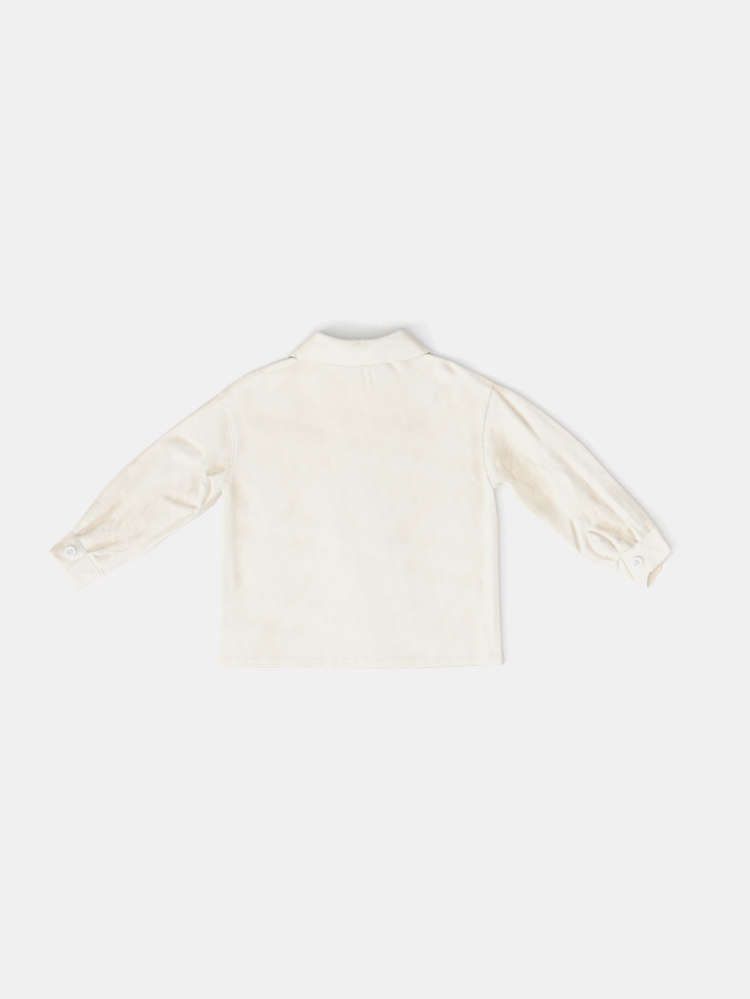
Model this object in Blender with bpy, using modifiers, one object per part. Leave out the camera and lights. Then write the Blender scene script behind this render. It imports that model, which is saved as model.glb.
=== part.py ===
"""A small child's button-up shirt, laid flat on its front.

The back lies uppermost. Each piece of cloth is a wall of even thickness, cut to its own outline,
and the front and back meet along the rolled side and shoulder edges. Plan sizes and heights in the
tables are millimetres: x runs to the right, y runs up to the collar, z is the height above the table.
"""
import math
from collections import namedtuple

import bmesh
import bpy
import numpy as np
from mathutils import Matrix, Vector

MM = 0.001
WALL = 1.2
SEAM_GAP = 0.3
EDGE_GAP = 1.0
SEAM_LIFT = 0.75
LAYER_STEP = WALL + 0.6
ROLL_WIDTH = 3.0
ROLL_STEPS = 3
ROLL_RISE = 2.1
FOLD_HEIGHT = 2.2
BUTTON_DIAMETER = 12.5
BUTTON_THICKNESS = 2.0
BUTTON_HOLE_DIAMETER = 1.7
BUTTON_HOLE_SPREAD = 3.0
BUTTON_SIDES = 20
BUTTON_HOLE_SIDES = 8
# Half of a button's section, as shares of its radius and its thickness.
BUTTON_PROFILE = [(0.0, 0.72), (0.62, 0.72), (0.74, 0.98), (0.90, 1.0), (1.0, 0.62), (0.93, 0.0), (0.0, 0.0)]
CUFF_BUTTON_LIFT = 0.4
CUFF_BUTTON_TURN = 12.0
OVERLAP = 25.0
OVERLAP_EASE_REACH = 18.0
OVERLAP_EASE = 16.0
BACK_COLUMNS = 30
BACK_ROWS = 26
FRONT_COLUMNS = 16
FRONT_ROWS = 20
SLEEVE_COLUMNS = 10
SLEEVE_STATIONS = 20
# Rough sizes of the pieces, to turn the width of a rolled edge into a share of each.
BACK_WIDTH = 316.0
BACK_LENGTH = 330.0
FRONT_WIDTH = 170.0
FRONT_LENGTH = 300.0
SLEEVE_WIDTH = 90.0
SHEET_MIDDLE = 0.0025
SHIRT_NAME = "button_up_shirt"

# Outlines in plan, each from its lower or inner end to its upper or outer end.
LEFT_SIDE = [(-158.0, -188.0), (-157.0, -90.0), (-154.6, 9.5)]
RIGHT_SIDE = [(160.2, -184.5), (156.8, -112.0), (155.7, -50.0), (155.0, -22.0), (150.1, 11.5)]
LEFT_ARMHOLE = [(-154.6, 9.5), (-146.0, 34.0), (-143.0, 58.0), (-145.5, 80.0), (-157.9, 118.2)]
RIGHT_ARMHOLE = [(150.1, 11.5), (143.5, 27.0), (139.5, 47.0), (139.2, 78.0), (150.5, 131.5)]
NECK_HALF = 77.0
NECK_Y = 160.8
NECK_SLANT = 0.028
NECK_POINTS = [(-NECK_HALF, NECK_Y - NECK_SLANT * NECK_HALF), (NECK_HALF, NECK_Y + NECK_SLANT * NECK_HALF)]
LEFT_SHOULDER = [(-157.9, 118.2), (-145.6, 128.0), (-123.2, 142.0), (-100.8, 150.6), (-84.0, 156.0),
                 NECK_POINTS[0]]
RIGHT_SHOULDER = [(150.5, 131.5), (123.2, 145.0), (100.8, 155.4), (84.0, 160.6), NECK_POINTS[1]]
BACK_NECK = [NECK_POINTS[0], (-65.0, 156.9), (-50.0, 155.9), (-32.0, 155.3), (0.0, 155.6),
             (32.0, 156.9), (50.0, 158.7), (65.0, 160.8), NECK_POINTS[1]]
LEFT_SLEEVE_TOP = [(-157.9, 118.2), (-190.4, 94.6), (-224.0, 68.9), (-257.6, 40.9), (-280.0, 19.6),
                   (-297.0, -1.0), (-308.0, -16.5), (-322.3, -34.6)]
LEFT_SLEEVE_UNDER = [(-154.6, 9.5), (-167.0, -7.3), (-188.2, -24.1), (-217.3, -43.1), (-238.6, -60.0),
                     (-258.7, -70.0), (-285.7, -84.1)]
RIGHT_SLEEVE_TOP = [(150.5, 131.5), (179.2, 117.0), (212.8, 92.4), (246.4, 64.4), (280.0, 28.6),
                    (313.6, -7.3), (331.5, -29.7)]
RIGHT_SLEEVE_UNDER = [(150.1, 11.5), (161.0, 12.0), (172.0, 4.0), (184.0, -9.0), (201.6, -25.2),
                      (224.0, -43.1), (255.4, -70.0), (288.5, -85.8)]

# Each cuff band in three stretches, as lines along its seam and along the wrist: over the upper side from
# its free end to the upper fold, below from fold to fold, and beneath the free end. The free end stands
# one layer higher for the raised length, then eases down over the fade.
Cuff = namedtuple("Cuff", "name over_seam over_wrist below_seam below_wrist beneath_seam beneath_wrist "
                          "raised fade button")
CUFFS = [
    Cuff("left_cuff",
         [(-304.2, -60.5), (-322.3, -34.6)], [(-327.7, -78.5), (-348.6, -58.1)],
         [(-322.3, -34.6), (-303.0, -57.5), (-285.7, -84.1)],
         [(-348.6, -58.1), (-331.0, -81.0), (-315.9, -102.1)],
         [(-285.7, -84.1), (-294.0, -71.5), (-310.5, -51.0)],
         [(-315.9, -102.1), (-322.0, -94.0), (-335.5, -70.5)],
         13.0, 12.0, (-323.0, -58.2)),
    Cuff("right_cuff",
         [(290.5, -61.0), (303.0, -54.5), (331.5, -29.7)], [(306.5, -88.5), (322.6, -82.3), (348.6, -56.6)],
         [(331.5, -29.7), (303.0, -54.5), (288.0, -63.5), (286.5, -75.0), (288.5, -85.8)],
         [(348.6, -56.6), (337.5, -79.0), (321.4, -100.2)],
         [(288.5, -85.8), (287.5, -74.5), (291.5, -64.5), (298.5, -58.8)],
         [(321.4, -100.2), (321.6, -88.0), (324.5, -79.5)],
         21.0, 12.0, (309.1, -70.0)),
]
CUFF_STEPS = 3

# Where the side and shoulder folds stand above their usual height.
EdgeLift = namedtuple("EdgeLift", "x y reach rise")
EDGE_LIFTS = [
    EdgeLift(-80.0, 160.0, 45.0, 1.9),
    EdgeLift(80.0, 164.0, 50.0, 2.2),
    EdgeLift(158.0, -60.0, 130.0, 1.8),
    EdgeLift(240.0, 70.0, 90.0, 1.2),
    EdgeLift(335.0, -45.0, 50.0, 1.2),
]

# Broad rises of the upper layer, over the fronts' overlap, the collar beneath and the full sleeves.
Mound = namedtuple("Mound", "x y half_x half_y turn rise")
MOUNDS = [
    Mound(0.0, -40.0, 85.0, 330.0, 0.0, 3.0),
    Mound(0.0, 140.0, 120.0, 75.0, 0.0, 3.0),
    Mound(-215.0, 15.0, 110.0, 62.0, 40.0, 2.6),
    Mound(-290.0, -40.0, 60.0, 48.0, 45.0, 2.4),
    Mound(215.0, 30.0, 120.0, 66.0, -42.0, 3.0),
    Mound(300.0, -50.0, 70.0, 52.0, -45.0, 3.2),
    Mound(146.0, -60.0, 26.0, 190.0, 0.0, 2.2),
    Mound(115.0, 140.0, 60.0, 26.0, -25.0, 1.6),
]
FLAT_HEIGHT = 4.4

# The largest folds: a curve in plan from start by way of a bend to an end, a half width and a rise,
# which is negative for a trough, and the share of the length over which each end fades.
Fold = namedtuple("Fold", "start bend end half_width rise fade_in fade_out")
FOLDS = [
    Fold((-316, -40), (-293, -27), (-262, -6), 7.0, -2.4, 0.10, 0.60),
    Fold((-271, -12), (-249, 11), (-235, 35), 9.0, -1.4, 0.40, 0.50),
    Fold((-302, -57), (-280, -51), (-250, -40), 7.0, -2.2, 0.10, 0.60),
    Fold((-249, -1), (-261, -17), (-282, -38), 6.0, -1.0, 0.40, 0.40),
    Fold((-224, 69), (-202, 69), (-175, 48), 8.0, -1.5, 0.30, 0.30),
    Fold((-211, 49), (-217, 29), (-238, 8), 10.0, 1.3, 0.40, 0.40),
    Fold((-226, 8), (-202, -6), (-176, -11), 8.0, -1.7, 0.30, 0.30),
    Fold((-190, 36), (-180, 18), (-172, 0), 10.0, -1.6, 0.40, 0.40),
    Fold((149, 128), (180, 90), (210, 44), 9.0, -2.6, 0.15, 0.35),
    Fold((166, 118), (198, 82), (222, 46), 10.0, 1.2, 0.30, 0.40),
    Fold((214, 62), (238, 33), (272, 0), 8.0, -2.0, 0.30, 0.40),
    Fold((145, 82), (160, 34), (200, 9), 13.0, -2.4, 0.30, 0.30),
    Fold((196, 12), (212, -12), (237, -26), 10.0, -2.0, 0.30, 0.30),
    Fold((236, -20), (246, -40), (244, -62), 6.0, -2.2, 0.30, 0.30),
    Fold((250, -30), (252, -60), (286, -72), 9.0, 1.6, 0.30, 0.30),
    Fold((262, -30), (284, -42), (300, -62), 8.0, -2.0, 0.25, 0.30),
    Fold((-137, 25), (-136, -68), (-134, -172), 10.0, -1.3, 0.15, 0.40),
    Fold((139, 67), (138, -45), (139, -160), 9.0, -1.2, 0.25, 0.30),
    Fold((6, 149), (9, 130), (14, 110), 5.0, -1.2, 0.20, 0.40),
    Fold((30, 156), (38, 146), (47, 140), 6.0, -1.4, 0.30, 0.40),
    Fold((94, 156), (101, 147), (110, 138), 6.0, -1.6, 0.25, 0.50),
]
FOLD_STEPS = 10
UPPER_FLOOR = 3.4

# The layers under the fronts: the fallen collar at the neck and a button at each fastening.
COLLAR_REST = namedtuple("CollarRest", "x y half_x half_y rise fade")(0.0, 138.0, 104.0, 84.0, 2.4, 0.14)
PLACKET_FLAT = 15.0
PLACKET_REACH = 38.0
PLACKET_FADE = 30.0
HEM_Y = -188.0
FRONT_BUTTON_COUNT = 5
FRONT_BUTTON_TOP = 84.0
FRONT_BUTTON_PITCH = 54.0

# The collar, seen as a band from its seam to its fold and back to its free edge, at stations from the
# centre back round the neck to the centre front. One half is listed and the other is its mirror image.
CollarStation = namedtuple("CollarStation", "seam_x seam_y fold_x fold_y fold_z edge_x edge_y side roll")
COLLAR_STATIONS = [
    CollarStation(0.0, 157.4, 0.0, 175.6, 15.6, 0.0, 149.6, "above", 1.9),
    CollarStation(14.0, 157.4, 11.5, 175.8, 15.6, 18.0, 149.9, "above", 1.9),
    CollarStation(28.0, 157.7, 22.0, 177.0, 15.4, 34.0, 151.6, "above", 1.9),
    CollarStation(42.0, 158.6, 33.0, 180.2, 14.6, 49.0, 154.0, "above", 1.9),
    CollarStation(54.0, 159.8, 42.0, 184.0, 12.6, 62.0, 156.8, "above", 1.9),
    CollarStation(64.0, 161.8, 47.5, 185.66, 10.8, 72.5, 160.4, "above", 1.9),
    CollarStation(71.5, 163.6, 53.0, 181.6, 5.0, 80.8, 165.8, "beside", 1.5),
    CollarStation(71.5, 155.0, 52.0, 168.5, 2.5, 82.0, 158.0, "under", 1.25),
    CollarStation(72.5, 149.5, 53.5, 160.0, 2.2, 82.0, 148.0, "below", 1.2),
    CollarStation(69.5, 139.5, 52.0, 147.0, 1.8, 77.0, 125.0, "below", 1.2),
    CollarStation(55.5, 123.2, 42.0, 134.0, 1.8, 64.0, 102.0, "below", 1.2),
    CollarStation(35.0, 110.4, 26.0, 122.5, 1.8, 46.0, 86.0, "below", 1.2),
    CollarStation(14.0, 104.4, 9.0, 117.5, 1.8, 27.0, 74.0, "below", 1.2),
]
COLLAR_STEPS = 24
COLLAR_ARC_STEPS = 3
COLLAR_FALL_STEPS = 4
COLLAR_STAND_STEPS = 2
COLLAR_CROWN = 1.2
COLLAR_CROWN_START = 4.0
COLLAR_CROWN_REACH = 8.0
COLLAR_EDGE_LIFT = 0.13
COLLAR_CENTRE = (0.14, 0.006)
COLLAR_TOP_SIDE = 6.0

# The front neckline, a quarter ellipse below each neck point.
FRONT_NECK_DEPTH = 59.0
FRONT_NECK_STEPS = 6

def lerp(start, end, share):
    """The value that lies the given share of the way from start to end."""
    return start + (end - start) * share


def smooth_step(value):
    """Eases from 0 to 1 as the value goes from 0 to 1, for a number or an array."""
    held = np.clip(value, 0.0, 1.0)
    return held * held * (3.0 - 2.0 * held)


def smooth_curve(points):
    """A curve through a few plan points, run at an even pace as its parameter goes from 0 to 1."""
    corners = [Vector(point) for point in points]
    reach = [0.0]
    for before, after in zip(corners, corners[1:]):
        reach.append(reach[-1] + (after - before).length)
    slopes = []
    last = len(corners) - 1
    for index in range(len(corners)):
        low, high = max(index - 1, 0), min(index + 1, last)
        slopes.append((corners[high] - corners[low]) / (reach[high] - reach[low]))

    def at(share):
        travel = min(max(share, 0.0), 1.0) * reach[-1]
        index = 0
        while index < last - 1 and travel > reach[index + 1]:
            index += 1
        span = reach[index + 1] - reach[index]
        f = (travel - reach[index]) / span
        arrive = 3 * f ** 2 - 2 * f ** 3
        leave_slope = slopes[index] * span * (f ** 3 - 2 * f ** 2 + f)
        arrive_slope = slopes[index + 1] * span * (f ** 3 - f ** 2)
        return corners[index] * (1 - arrive) + corners[index + 1] * arrive + leave_slope + arrive_slope

    at.length = reach[-1]
    return at


def joined(first, second):
    """Two curves end to end as one, each given its share of the whole by its length."""
    split = first.length / (first.length + second.length)

    def at(share):
        if share <= split:
            return first(share / split)
        return second((share - split) / (1.0 - split))

    at.length = first.length + second.length
    at.split = split
    return at


def patch_point(bottom, top, left, right, u, v):
    """A plan point between four boundary curves: u runs from left to right and v from bottom to top."""
    across = left(v) * (1 - u) + right(v) * u
    along = bottom(u) * (1 - v) + top(u) * v
    corners = ((bottom(0) * (1 - u) + bottom(1) * u) * (1 - v) + (top(0) * (1 - u) + top(1) * u) * v)
    return across + along - corners


EDGE_CURVES = [smooth_curve(points) for points in (
    LEFT_SIDE, RIGHT_SIDE, LEFT_SHOULDER, RIGHT_SHOULDER, LEFT_SLEEVE_TOP, LEFT_SLEEVE_UNDER,
    RIGHT_SLEEVE_TOP, RIGHT_SLEEVE_UNDER,
    [LEFT_SLEEVE_TOP[-1], CUFFS[0].below_wrist[0]], [LEFT_SLEEVE_UNDER[-1], CUFFS[0].below_wrist[-1]],
    [RIGHT_SLEEVE_TOP[-1], CUFFS[1].below_wrist[0]], [RIGHT_SLEEVE_UNDER[-1], CUFFS[1].below_wrist[-1]])]
EDGE_SAMPLES = 30


def edge_segments():
    """The folded edges of the whole garment as short straight pieces, start and end points."""
    starts, ends = [], []
    for curve in EDGE_CURVES:
        line = [curve(step / EDGE_SAMPLES) for step in range(EDGE_SAMPLES + 1)]
        starts.extend(line[:-1])
        ends.extend(line[1:])
    return np.array(starts), np.array(ends)


EDGE_STARTS, EDGE_ENDS = edge_segments()


def distance_to_edge(x, y):
    """The distance in plan from a point to the nearest folded edge."""
    point = np.array((x, y))
    along = EDGE_ENDS - EDGE_STARTS
    share = np.clip(((point - EDGE_STARTS) * along).sum(axis=1) / (along ** 2).sum(axis=1), 0.0, 1.0)
    nearest = EDGE_STARTS + along * share[:, None]
    return float(np.sqrt(((point - nearest) ** 2).sum(axis=1).min()))


def fold_rise(fold, x, y):
    """What one fold adds to the height at a plan point."""
    line = [Vector(fold.start), Vector(fold.bend), Vector(fold.end)]
    best, place = 1e9, 0.0
    point = Vector((x, y))
    previous = line[0]
    for step in range(1, FOLD_STEPS + 1):
        t = step / FOLD_STEPS
        following = line[0] * (1 - t) ** 2 + line[1] * 2 * t * (1 - t) + line[2] * t ** 2
        along = following - previous
        share = min(max((point - previous).dot(along) / along.length_squared, 0.0), 1.0)
        distance = (previous + along * share - point).length
        if distance < best:
            best, place = distance, (step - 1 + share) / FOLD_STEPS
        previous = following
    if best >= fold.half_width:
        return 0.0
    ends = float(smooth_step(place / fold.fade_in) * smooth_step((1 - place) / fold.fade_out))
    return fold.rise * ends * (1 - (best / fold.half_width) ** 2) ** 2


def mound_rise(mound, x, y):
    """What one broad mound adds to the height at a plan point."""
    turn = math.radians(mound.turn)
    dx, dy = x - mound.x, y - mound.y
    along = (dx * math.cos(turn) + dy * math.sin(turn)) / mound.half_x
    across = (dy * math.cos(turn) - dx * math.sin(turn)) / mound.half_y
    return mound.rise * float(smooth_step(1.0 - math.hypot(along, across)))


def edge_height(x, y):
    """The height of the fold line at a folded edge near a plan point."""
    height = FOLD_HEIGHT
    for lift in EDGE_LIFTS:
        height += lift.rise * float(smooth_step(1.0 - math.hypot(x - lift.x, y - lift.y) / lift.reach))
    return height


def roll_share(x, y):
    """0 on a folded edge, 1 past the width of its roll, along a quarter circle between."""
    inward = min(distance_to_edge(x, y) / ROLL_WIDTH, 1.0)
    return math.sqrt(1.0 - (1.0 - inward) ** 2)


def upper_height(x, y):
    """The outer face of the upper layer: back, and upper side of the sleeves and cuffs."""
    height = FLAT_HEIGHT
    for mound in MOUNDS:
        height += mound_rise(mound, x, y)
    for fold in FOLDS:
        height += fold_rise(fold, x, y)
    overlapped = float(smooth_step((PLACKET_REACH - abs(x)) / (PLACKET_REACH - PLACKET_FLAT)))
    layers = lower_height_inside(x, y) + LAYER_STEP * overlapped + 2 * WALL + SEAM_GAP
    edge = edge_height(x, y)
    near_edge = edge + ROLL_RISE * float(smooth_step(2.0 - distance_to_edge(x, y) / (2 * ROLL_WIDTH)))
    return lerp(edge, max(height, layers, near_edge, UPPER_FLOOR), roll_share(x, y))


def button_places():
    """Plan points of the front buttons, from the neck down."""
    return [(0.0, FRONT_BUTTON_TOP - FRONT_BUTTON_PITCH * index) for index in range(FRONT_BUTTON_COUNT)]


def lower_height_inside(x, y):
    """The height of the lower layer's outer face away from the folded edges."""
    rest = COLLAR_REST
    from_collar = math.hypot((x - rest.x) / rest.half_x, (y - rest.y) / rest.half_y)
    height = rest.rise * float(smooth_step((1.0 - from_collar) / rest.fade))
    across = float(smooth_step((PLACKET_REACH - abs(x)) / (PLACKET_REACH - PLACKET_FLAT)))
    along = float(smooth_step((y - HEM_Y) / PLACKET_FADE))
    return max(height, (BUTTON_THICKNESS + SEAM_GAP) * across * along)


def lower_height(x, y):
    """The outer face of the lower layer: fronts, and lower side of the sleeves and cuffs."""
    edge = edge_height(x, y)
    return lerp(edge, lower_height_inside(x, y), roll_share(x, y))


def make_material(name, colour, roughness):
    """A plain finish."""
    material = bpy.data.materials.new(name)
    material.use_nodes = True
    shader = material.node_tree.nodes["Principled BSDF"]
    shader.inputs["Base Color"].default_value = (*colour, 1.0)
    shader.inputs["Roughness"].default_value = roughness
    shader.inputs["Metallic"].default_value = 0.0
    return material


def add_object(name, mesh, material, collection):
    """Puts a mesh into the garment's collection as a named piece."""
    mesh.materials.append(material)
    piece = bpy.data.objects.new(name, mesh)
    collection.objects.link(piece)
    return piece


def place_grid(columns, rows, place):
    """A grid mesh whose vertex at each column and row is moved to the millimetre point that place gives."""
    grid = bmesh.new()
    bmesh.ops.create_grid(grid, x_segments=columns, y_segments=rows, size=1.0)
    for vertex in grid.verts:
        column = round((vertex.co.x + 1.0) / 2.0 * columns)
        row = round((vertex.co.y + 1.0) / 2.0 * rows)
        vertex.co = Vector(place(column, row)) * MM
    return grid


def add_cloth(name, grid, material, collection, facing):
    """Turns a sheet's outer side the way it faces and gives it the wall, inwards from that side."""
    bmesh.ops.recalc_face_normals(grid, faces=grid.faces)
    grid.normal_update()
    if sum(face.normal.dot(facing(face.calc_center_median())) * face.calc_area() for face in grid.faces) < 0:
        bmesh.ops.reverse_faces(grid, faces=grid.faces)
    mesh = bpy.data.meshes.new(name)
    grid.to_mesh(mesh)
    grid.free()
    mesh.shade_smooth()
    piece = add_object(name, mesh, material, collection)
    wall = piece.modifiers.new("cloth wall", 'SOLIDIFY')
    wall.thickness = WALL * MM
    wall.offset = -1.0
    wall.use_even_offset = False
    wall.use_quality_normals = True
    return piece


def upwards(centre):
    """Outside is above."""
    return Vector((0, 0, 1))


def downwards(centre):
    """Outside is below."""
    return Vector((0, 0, -1))


def spread(count, roll_start, roll_end):
    """Shares from 0 to 1, drawn together where an end has a roll of the given share."""
    shares = []
    for step in range(ROLL_STEPS):
        if roll_start:
            shares.append(roll_start * (1 - math.cos(math.pi / 2 * step / ROLL_STEPS)))
    for step in range(count + 1):
        shares.append(lerp(roll_start, 1.0 - roll_end, step / count))
    for step in range(ROLL_STEPS - 1, -1, -1):
        if roll_end:
            shares.append(1.0 - roll_end * (1 - math.cos(math.pi / 2 * step / ROLL_STEPS)))
    return shares


def seam_lift(x, y):
    """How far a panel keeps back from the fold line, where the front and back are sewn together."""
    return SEAM_LIFT * max(0.0, 1.0 - distance_to_edge(x, y) / ROLL_WIDTH)


def make_back(cloth, collection):
    """The back panel: one piece from the hem to the neck, between the side and armhole edges."""
    left = joined(smooth_curve(LEFT_SIDE), smooth_curve(LEFT_ARMHOLE))
    right = joined(smooth_curve(RIGHT_SIDE), smooth_curve(RIGHT_ARMHOLE))
    bottom = smooth_curve([LEFT_SIDE[0], (0.0, -189.0), RIGHT_SIDE[0]])
    neck = smooth_curve(BACK_NECK)
    left_shoulder = smooth_curve(LEFT_SHOULDER)
    right_shoulder = smooth_curve(RIGHT_SHOULDER[::-1])
    top = joined(joined(left_shoulder, neck), right_shoulder)
    across = spread(BACK_COLUMNS, ROLL_WIDTH / BACK_WIDTH, ROLL_WIDTH / BACK_WIDTH)
    up = spread(BACK_ROWS, 0.0, ROLL_WIDTH / BACK_LENGTH)

    def place(column, row):
        point = patch_point(bottom, top, left, right, across[column], up[row])
        height = upper_height(point.x, point.y)
        height += seam_lift(point.x, point.y)
        return point.x, point.y, height

    grid = place_grid(len(across) - 1, len(up) - 1, place)
    return add_cloth("back_panel", grid, cloth, collection, upwards)


def neck_quarter(hand, front_edge_x):
    """The front neckline from its lowest point at the front edge up to a neck point."""
    points = []
    for step in range(1, FRONT_NECK_STEPS + 1):
        angle = math.pi / 2 * (1 - step / FRONT_NECK_STEPS)
        x = hand * NECK_HALF * math.cos(angle)
        points.append((x, NECK_Y + NECK_SLANT * x - FRONT_NECK_DEPTH * math.sin(angle)))
    return [(front_edge_x, NECK_Y - FRONT_NECK_DEPTH), (0.0, NECK_Y - FRONT_NECK_DEPTH)] + points


def make_front(name, side, armhole, shoulder, raise_overlap, cloth, collection):
    """One front, from its side seam to its buttoned edge."""
    hand = 1.0 if shoulder[-1][0] > 0 else -1.0
    front_edge_x = -hand * OVERLAP / 2
    neckline = neck_quarter(hand, front_edge_x)
    outer = joined(smooth_curve(side), smooth_curve(armhole))
    hem_y = side[0][1]
    bottom = smooth_curve([side[0], (front_edge_x, hem_y - 0.5)])
    top = joined(smooth_curve(shoulder), smooth_curve(neckline[::-1]))
    inner = smooth_curve([(front_edge_x, hem_y - 0.5), neckline[0]])
    across = spread(FRONT_COLUMNS, ROLL_WIDTH / FRONT_WIDTH, 0.0)
    up = spread(FRONT_ROWS, 0.0, ROLL_WIDTH / FRONT_LENGTH)

    def place(column, row):
        point = patch_point(bottom, top, outer, inner, across[column], up[row])
        height = lower_height(point.x, point.y)
        height -= seam_lift(point.x, point.y)
        from_edge = (point.x - front_edge_x) * hand
        raised = (OVERLAP + OVERLAP_EASE_REACH - from_edge) / OVERLAP_EASE
        height += raise_overlap * float(smooth_step(raised))
        return point.x, point.y, max(height, 0.0)

    grid = place_grid(len(across) - 1, len(up) - 1, place)
    return add_cloth(name, grid, cloth, collection, downwards)


def ring_places(across):
    """Cross positions round a flattened tube: over the upper side, then back along the lower side."""
    upper = [(share, True) for share in across]
    lower = [(share, False) for share in across[-2:0:-1]]
    return upper + lower


def make_sleeve(name, armhole, top, under, seam, cloth, collection):
    """A sleeve as a flattened tube from the armhole to the cuff seam."""
    start = smooth_curve(armhole)
    end = smooth_curve(seam[::-1])
    lower_edge = smooth_curve(under)
    upper_edge = smooth_curve(top)
    first_share = EDGE_GAP / lower_edge.length
    across = spread(SLEEVE_COLUMNS, ROLL_WIDTH / SLEEVE_WIDTH, ROLL_WIDTH / SLEEVE_WIDTH)
    ring = ring_places(across)

    def place(column, row):
        share, on_top = ring[column % len(ring)]
        along = lerp(first_share, 1.0, row / SLEEVE_STATIONS)
        point = patch_point(lower_edge, upper_edge, start, end, along, share)
        height = upper_height(point.x, point.y) if on_top else lower_height(point.x, point.y)
        return point.x, point.y, height

    grid = place_grid(len(ring), SLEEVE_STATIONS, place)
    bmesh.ops.remove_doubles(grid, verts=grid.verts, dist=0.00001)

    def outside(centre):
        return Vector((0, 0, 1 if centre.z > SHEET_MIDDLE else -1))

    return add_cloth(name, grid, cloth, collection, outside)


def ruled_point(seam, wrist, share, across):
    """A plan point on a stretch of cuff, which starts a seam gap away from the sleeve."""
    start, end = seam(share), wrist(share)
    start = start + (end - start).normalized() * EDGE_GAP
    return lerp(start, end, across)


def free_end_rise(cuff, point):
    """How much higher the free end of a cuff lies at a plan point, over the end beneath it."""
    start, end = Vector(cuff.over_seam[0]), Vector(cuff.over_wrist[0])
    along = (end - start).normalized()
    inside = abs((point - start).cross(along))
    return LAYER_STEP * float(smooth_step((cuff.raised + cuff.fade - inside) / cuff.fade))


def make_cuff(cuff, cloth, collection):
    """A cuff band: from its free end over the upper side, round the wrist and back beneath that end."""
    stretches = {
        "over": (smooth_curve(cuff.over_seam), smooth_curve(cuff.over_wrist)),
        "below": (smooth_curve(cuff.below_seam), smooth_curve(cuff.below_wrist)),
        "beneath": (smooth_curve(cuff.beneath_seam), smooth_curve(cuff.beneath_wrist)),
    }
    places = []
    for name, steps, rolls in (("over", 5, (0, 1)), ("below", 7, (1, 1)), ("beneath", 5, (1, 0))):
        roll = ROLL_WIDTH / stretches[name][0].length
        shares = spread(steps, roll * rolls[0], roll * rolls[1])
        if places:
            shares = shares[1:]
        places.extend((name, share) for share in shares)

    def place(column, row):
        name, share = places[column]
        seam, wrist = stretches[name]
        point = ruled_point(seam, wrist, share, row / CUFF_STEPS)
        if name == "below":
            return point.x, point.y, lower_height(point.x, point.y)
        height = upper_height(point.x, point.y)
        if name == "over":
            height += free_end_rise(cuff, point)
        return point.x, point.y, height

    grid = place_grid(len(places) - 1, CUFF_STEPS, place)

    def outside(centre):
        return Vector((0, 0, 1 if centre.z > SHEET_MIDDLE else -1))

    return add_cloth(cuff.name, grid, cloth, collection, outside)


def collar_heights(row):
    """Heights of a station's seam and free edge, at the middle of the wall."""
    if row.side == "above":
        return (upper_height(row.seam_x, row.seam_y - EDGE_GAP) - WALL / 2,
                upper_height(row.edge_x, row.edge_y) + WALL / 2 + EDGE_GAP)
    if row.side == "beside":
        middle = edge_height(row.seam_x, row.seam_y)
        return middle - WALL / 2, middle
    if row.side == "under":
        return LAYER_STEP + WALL / 2, WALL
    return COLLAR_REST.rise + WALL / 2, WALL / 2 + COLLAR_EDGE_LIFT


def collar_ring():
    """Seam, fold and edge points of the collar, with its rolls, from the left front end to the right one."""
    seams, folds, edges, rolls = [], [], [], []
    for hand, rows in ((-1, COLLAR_STATIONS[:0:-1]), (1, COLLAR_STATIONS)):
        for row in rows:
            seam_z, edge_z = collar_heights(row)
            slant = hand * NECK_SLANT
            seams.append(Vector((hand * row.seam_x, row.seam_y + slant * row.seam_x, seam_z)))
            folds.append(Vector((hand * row.fold_x, row.fold_y + slant * row.fold_x, row.fold_z)))
            edges.append(Vector((hand * row.edge_x, row.edge_y + slant * row.edge_x, edge_z)))
            rolls.append(row.roll)
    return seams, folds, edges, rolls


def through(values, place):
    """The value at a place along evenly numbered stations, on a smooth curve through them."""
    index = min(int(place), len(values) - 2)
    f = place - index
    before = values[max(index - 1, 0)]
    after = values[min(index + 2, len(values) - 1)]
    near, far = values[index], values[index + 1]
    return (near * (2 * f ** 3 - 3 * f ** 2 + 1) + (far - before) * 0.5 * (f ** 3 - 2 * f ** 2 + f)
            + far * (3 * f ** 2 - 2 * f ** 3) + (after - near) * 0.5 * (f ** 3 - f ** 2))


def collar_section(seam, fold, edge, roll, onward):
    """Points across the collar: up the stand, round the fold and down the fall to the free edge.

    The fall lies outside the stand, square to the section and to the way onward round the neck.
    """
    out = (fold - (seam + edge) / 2).normalized()
    apart = onward.cross(out).normalized()
    stand_end = fold - apart * roll
    fall_start = fold + apart * roll
    crown_rise = COLLAR_CROWN * float(smooth_step((fold.z - COLLAR_CROWN_START) / COLLAR_CROWN_REACH))
    points = [lerp(seam, stand_end, step / COLLAR_STAND_STEPS) for step in range(COLLAR_STAND_STEPS)]
    for step in range(COLLAR_ARC_STEPS + 1):
        angle = math.pi * step / COLLAR_ARC_STEPS
        points.append(fold - apart * roll * math.cos(angle) + out * roll * math.sin(angle))
    for step in range(1, COLLAR_FALL_STEPS + 1):
        share = step / COLLAR_FALL_STEPS
        crown = crown_rise * 4 * share * (1 - share)
        points.append(lerp(fall_start, edge, share) + apart * crown)
    return points


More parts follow.
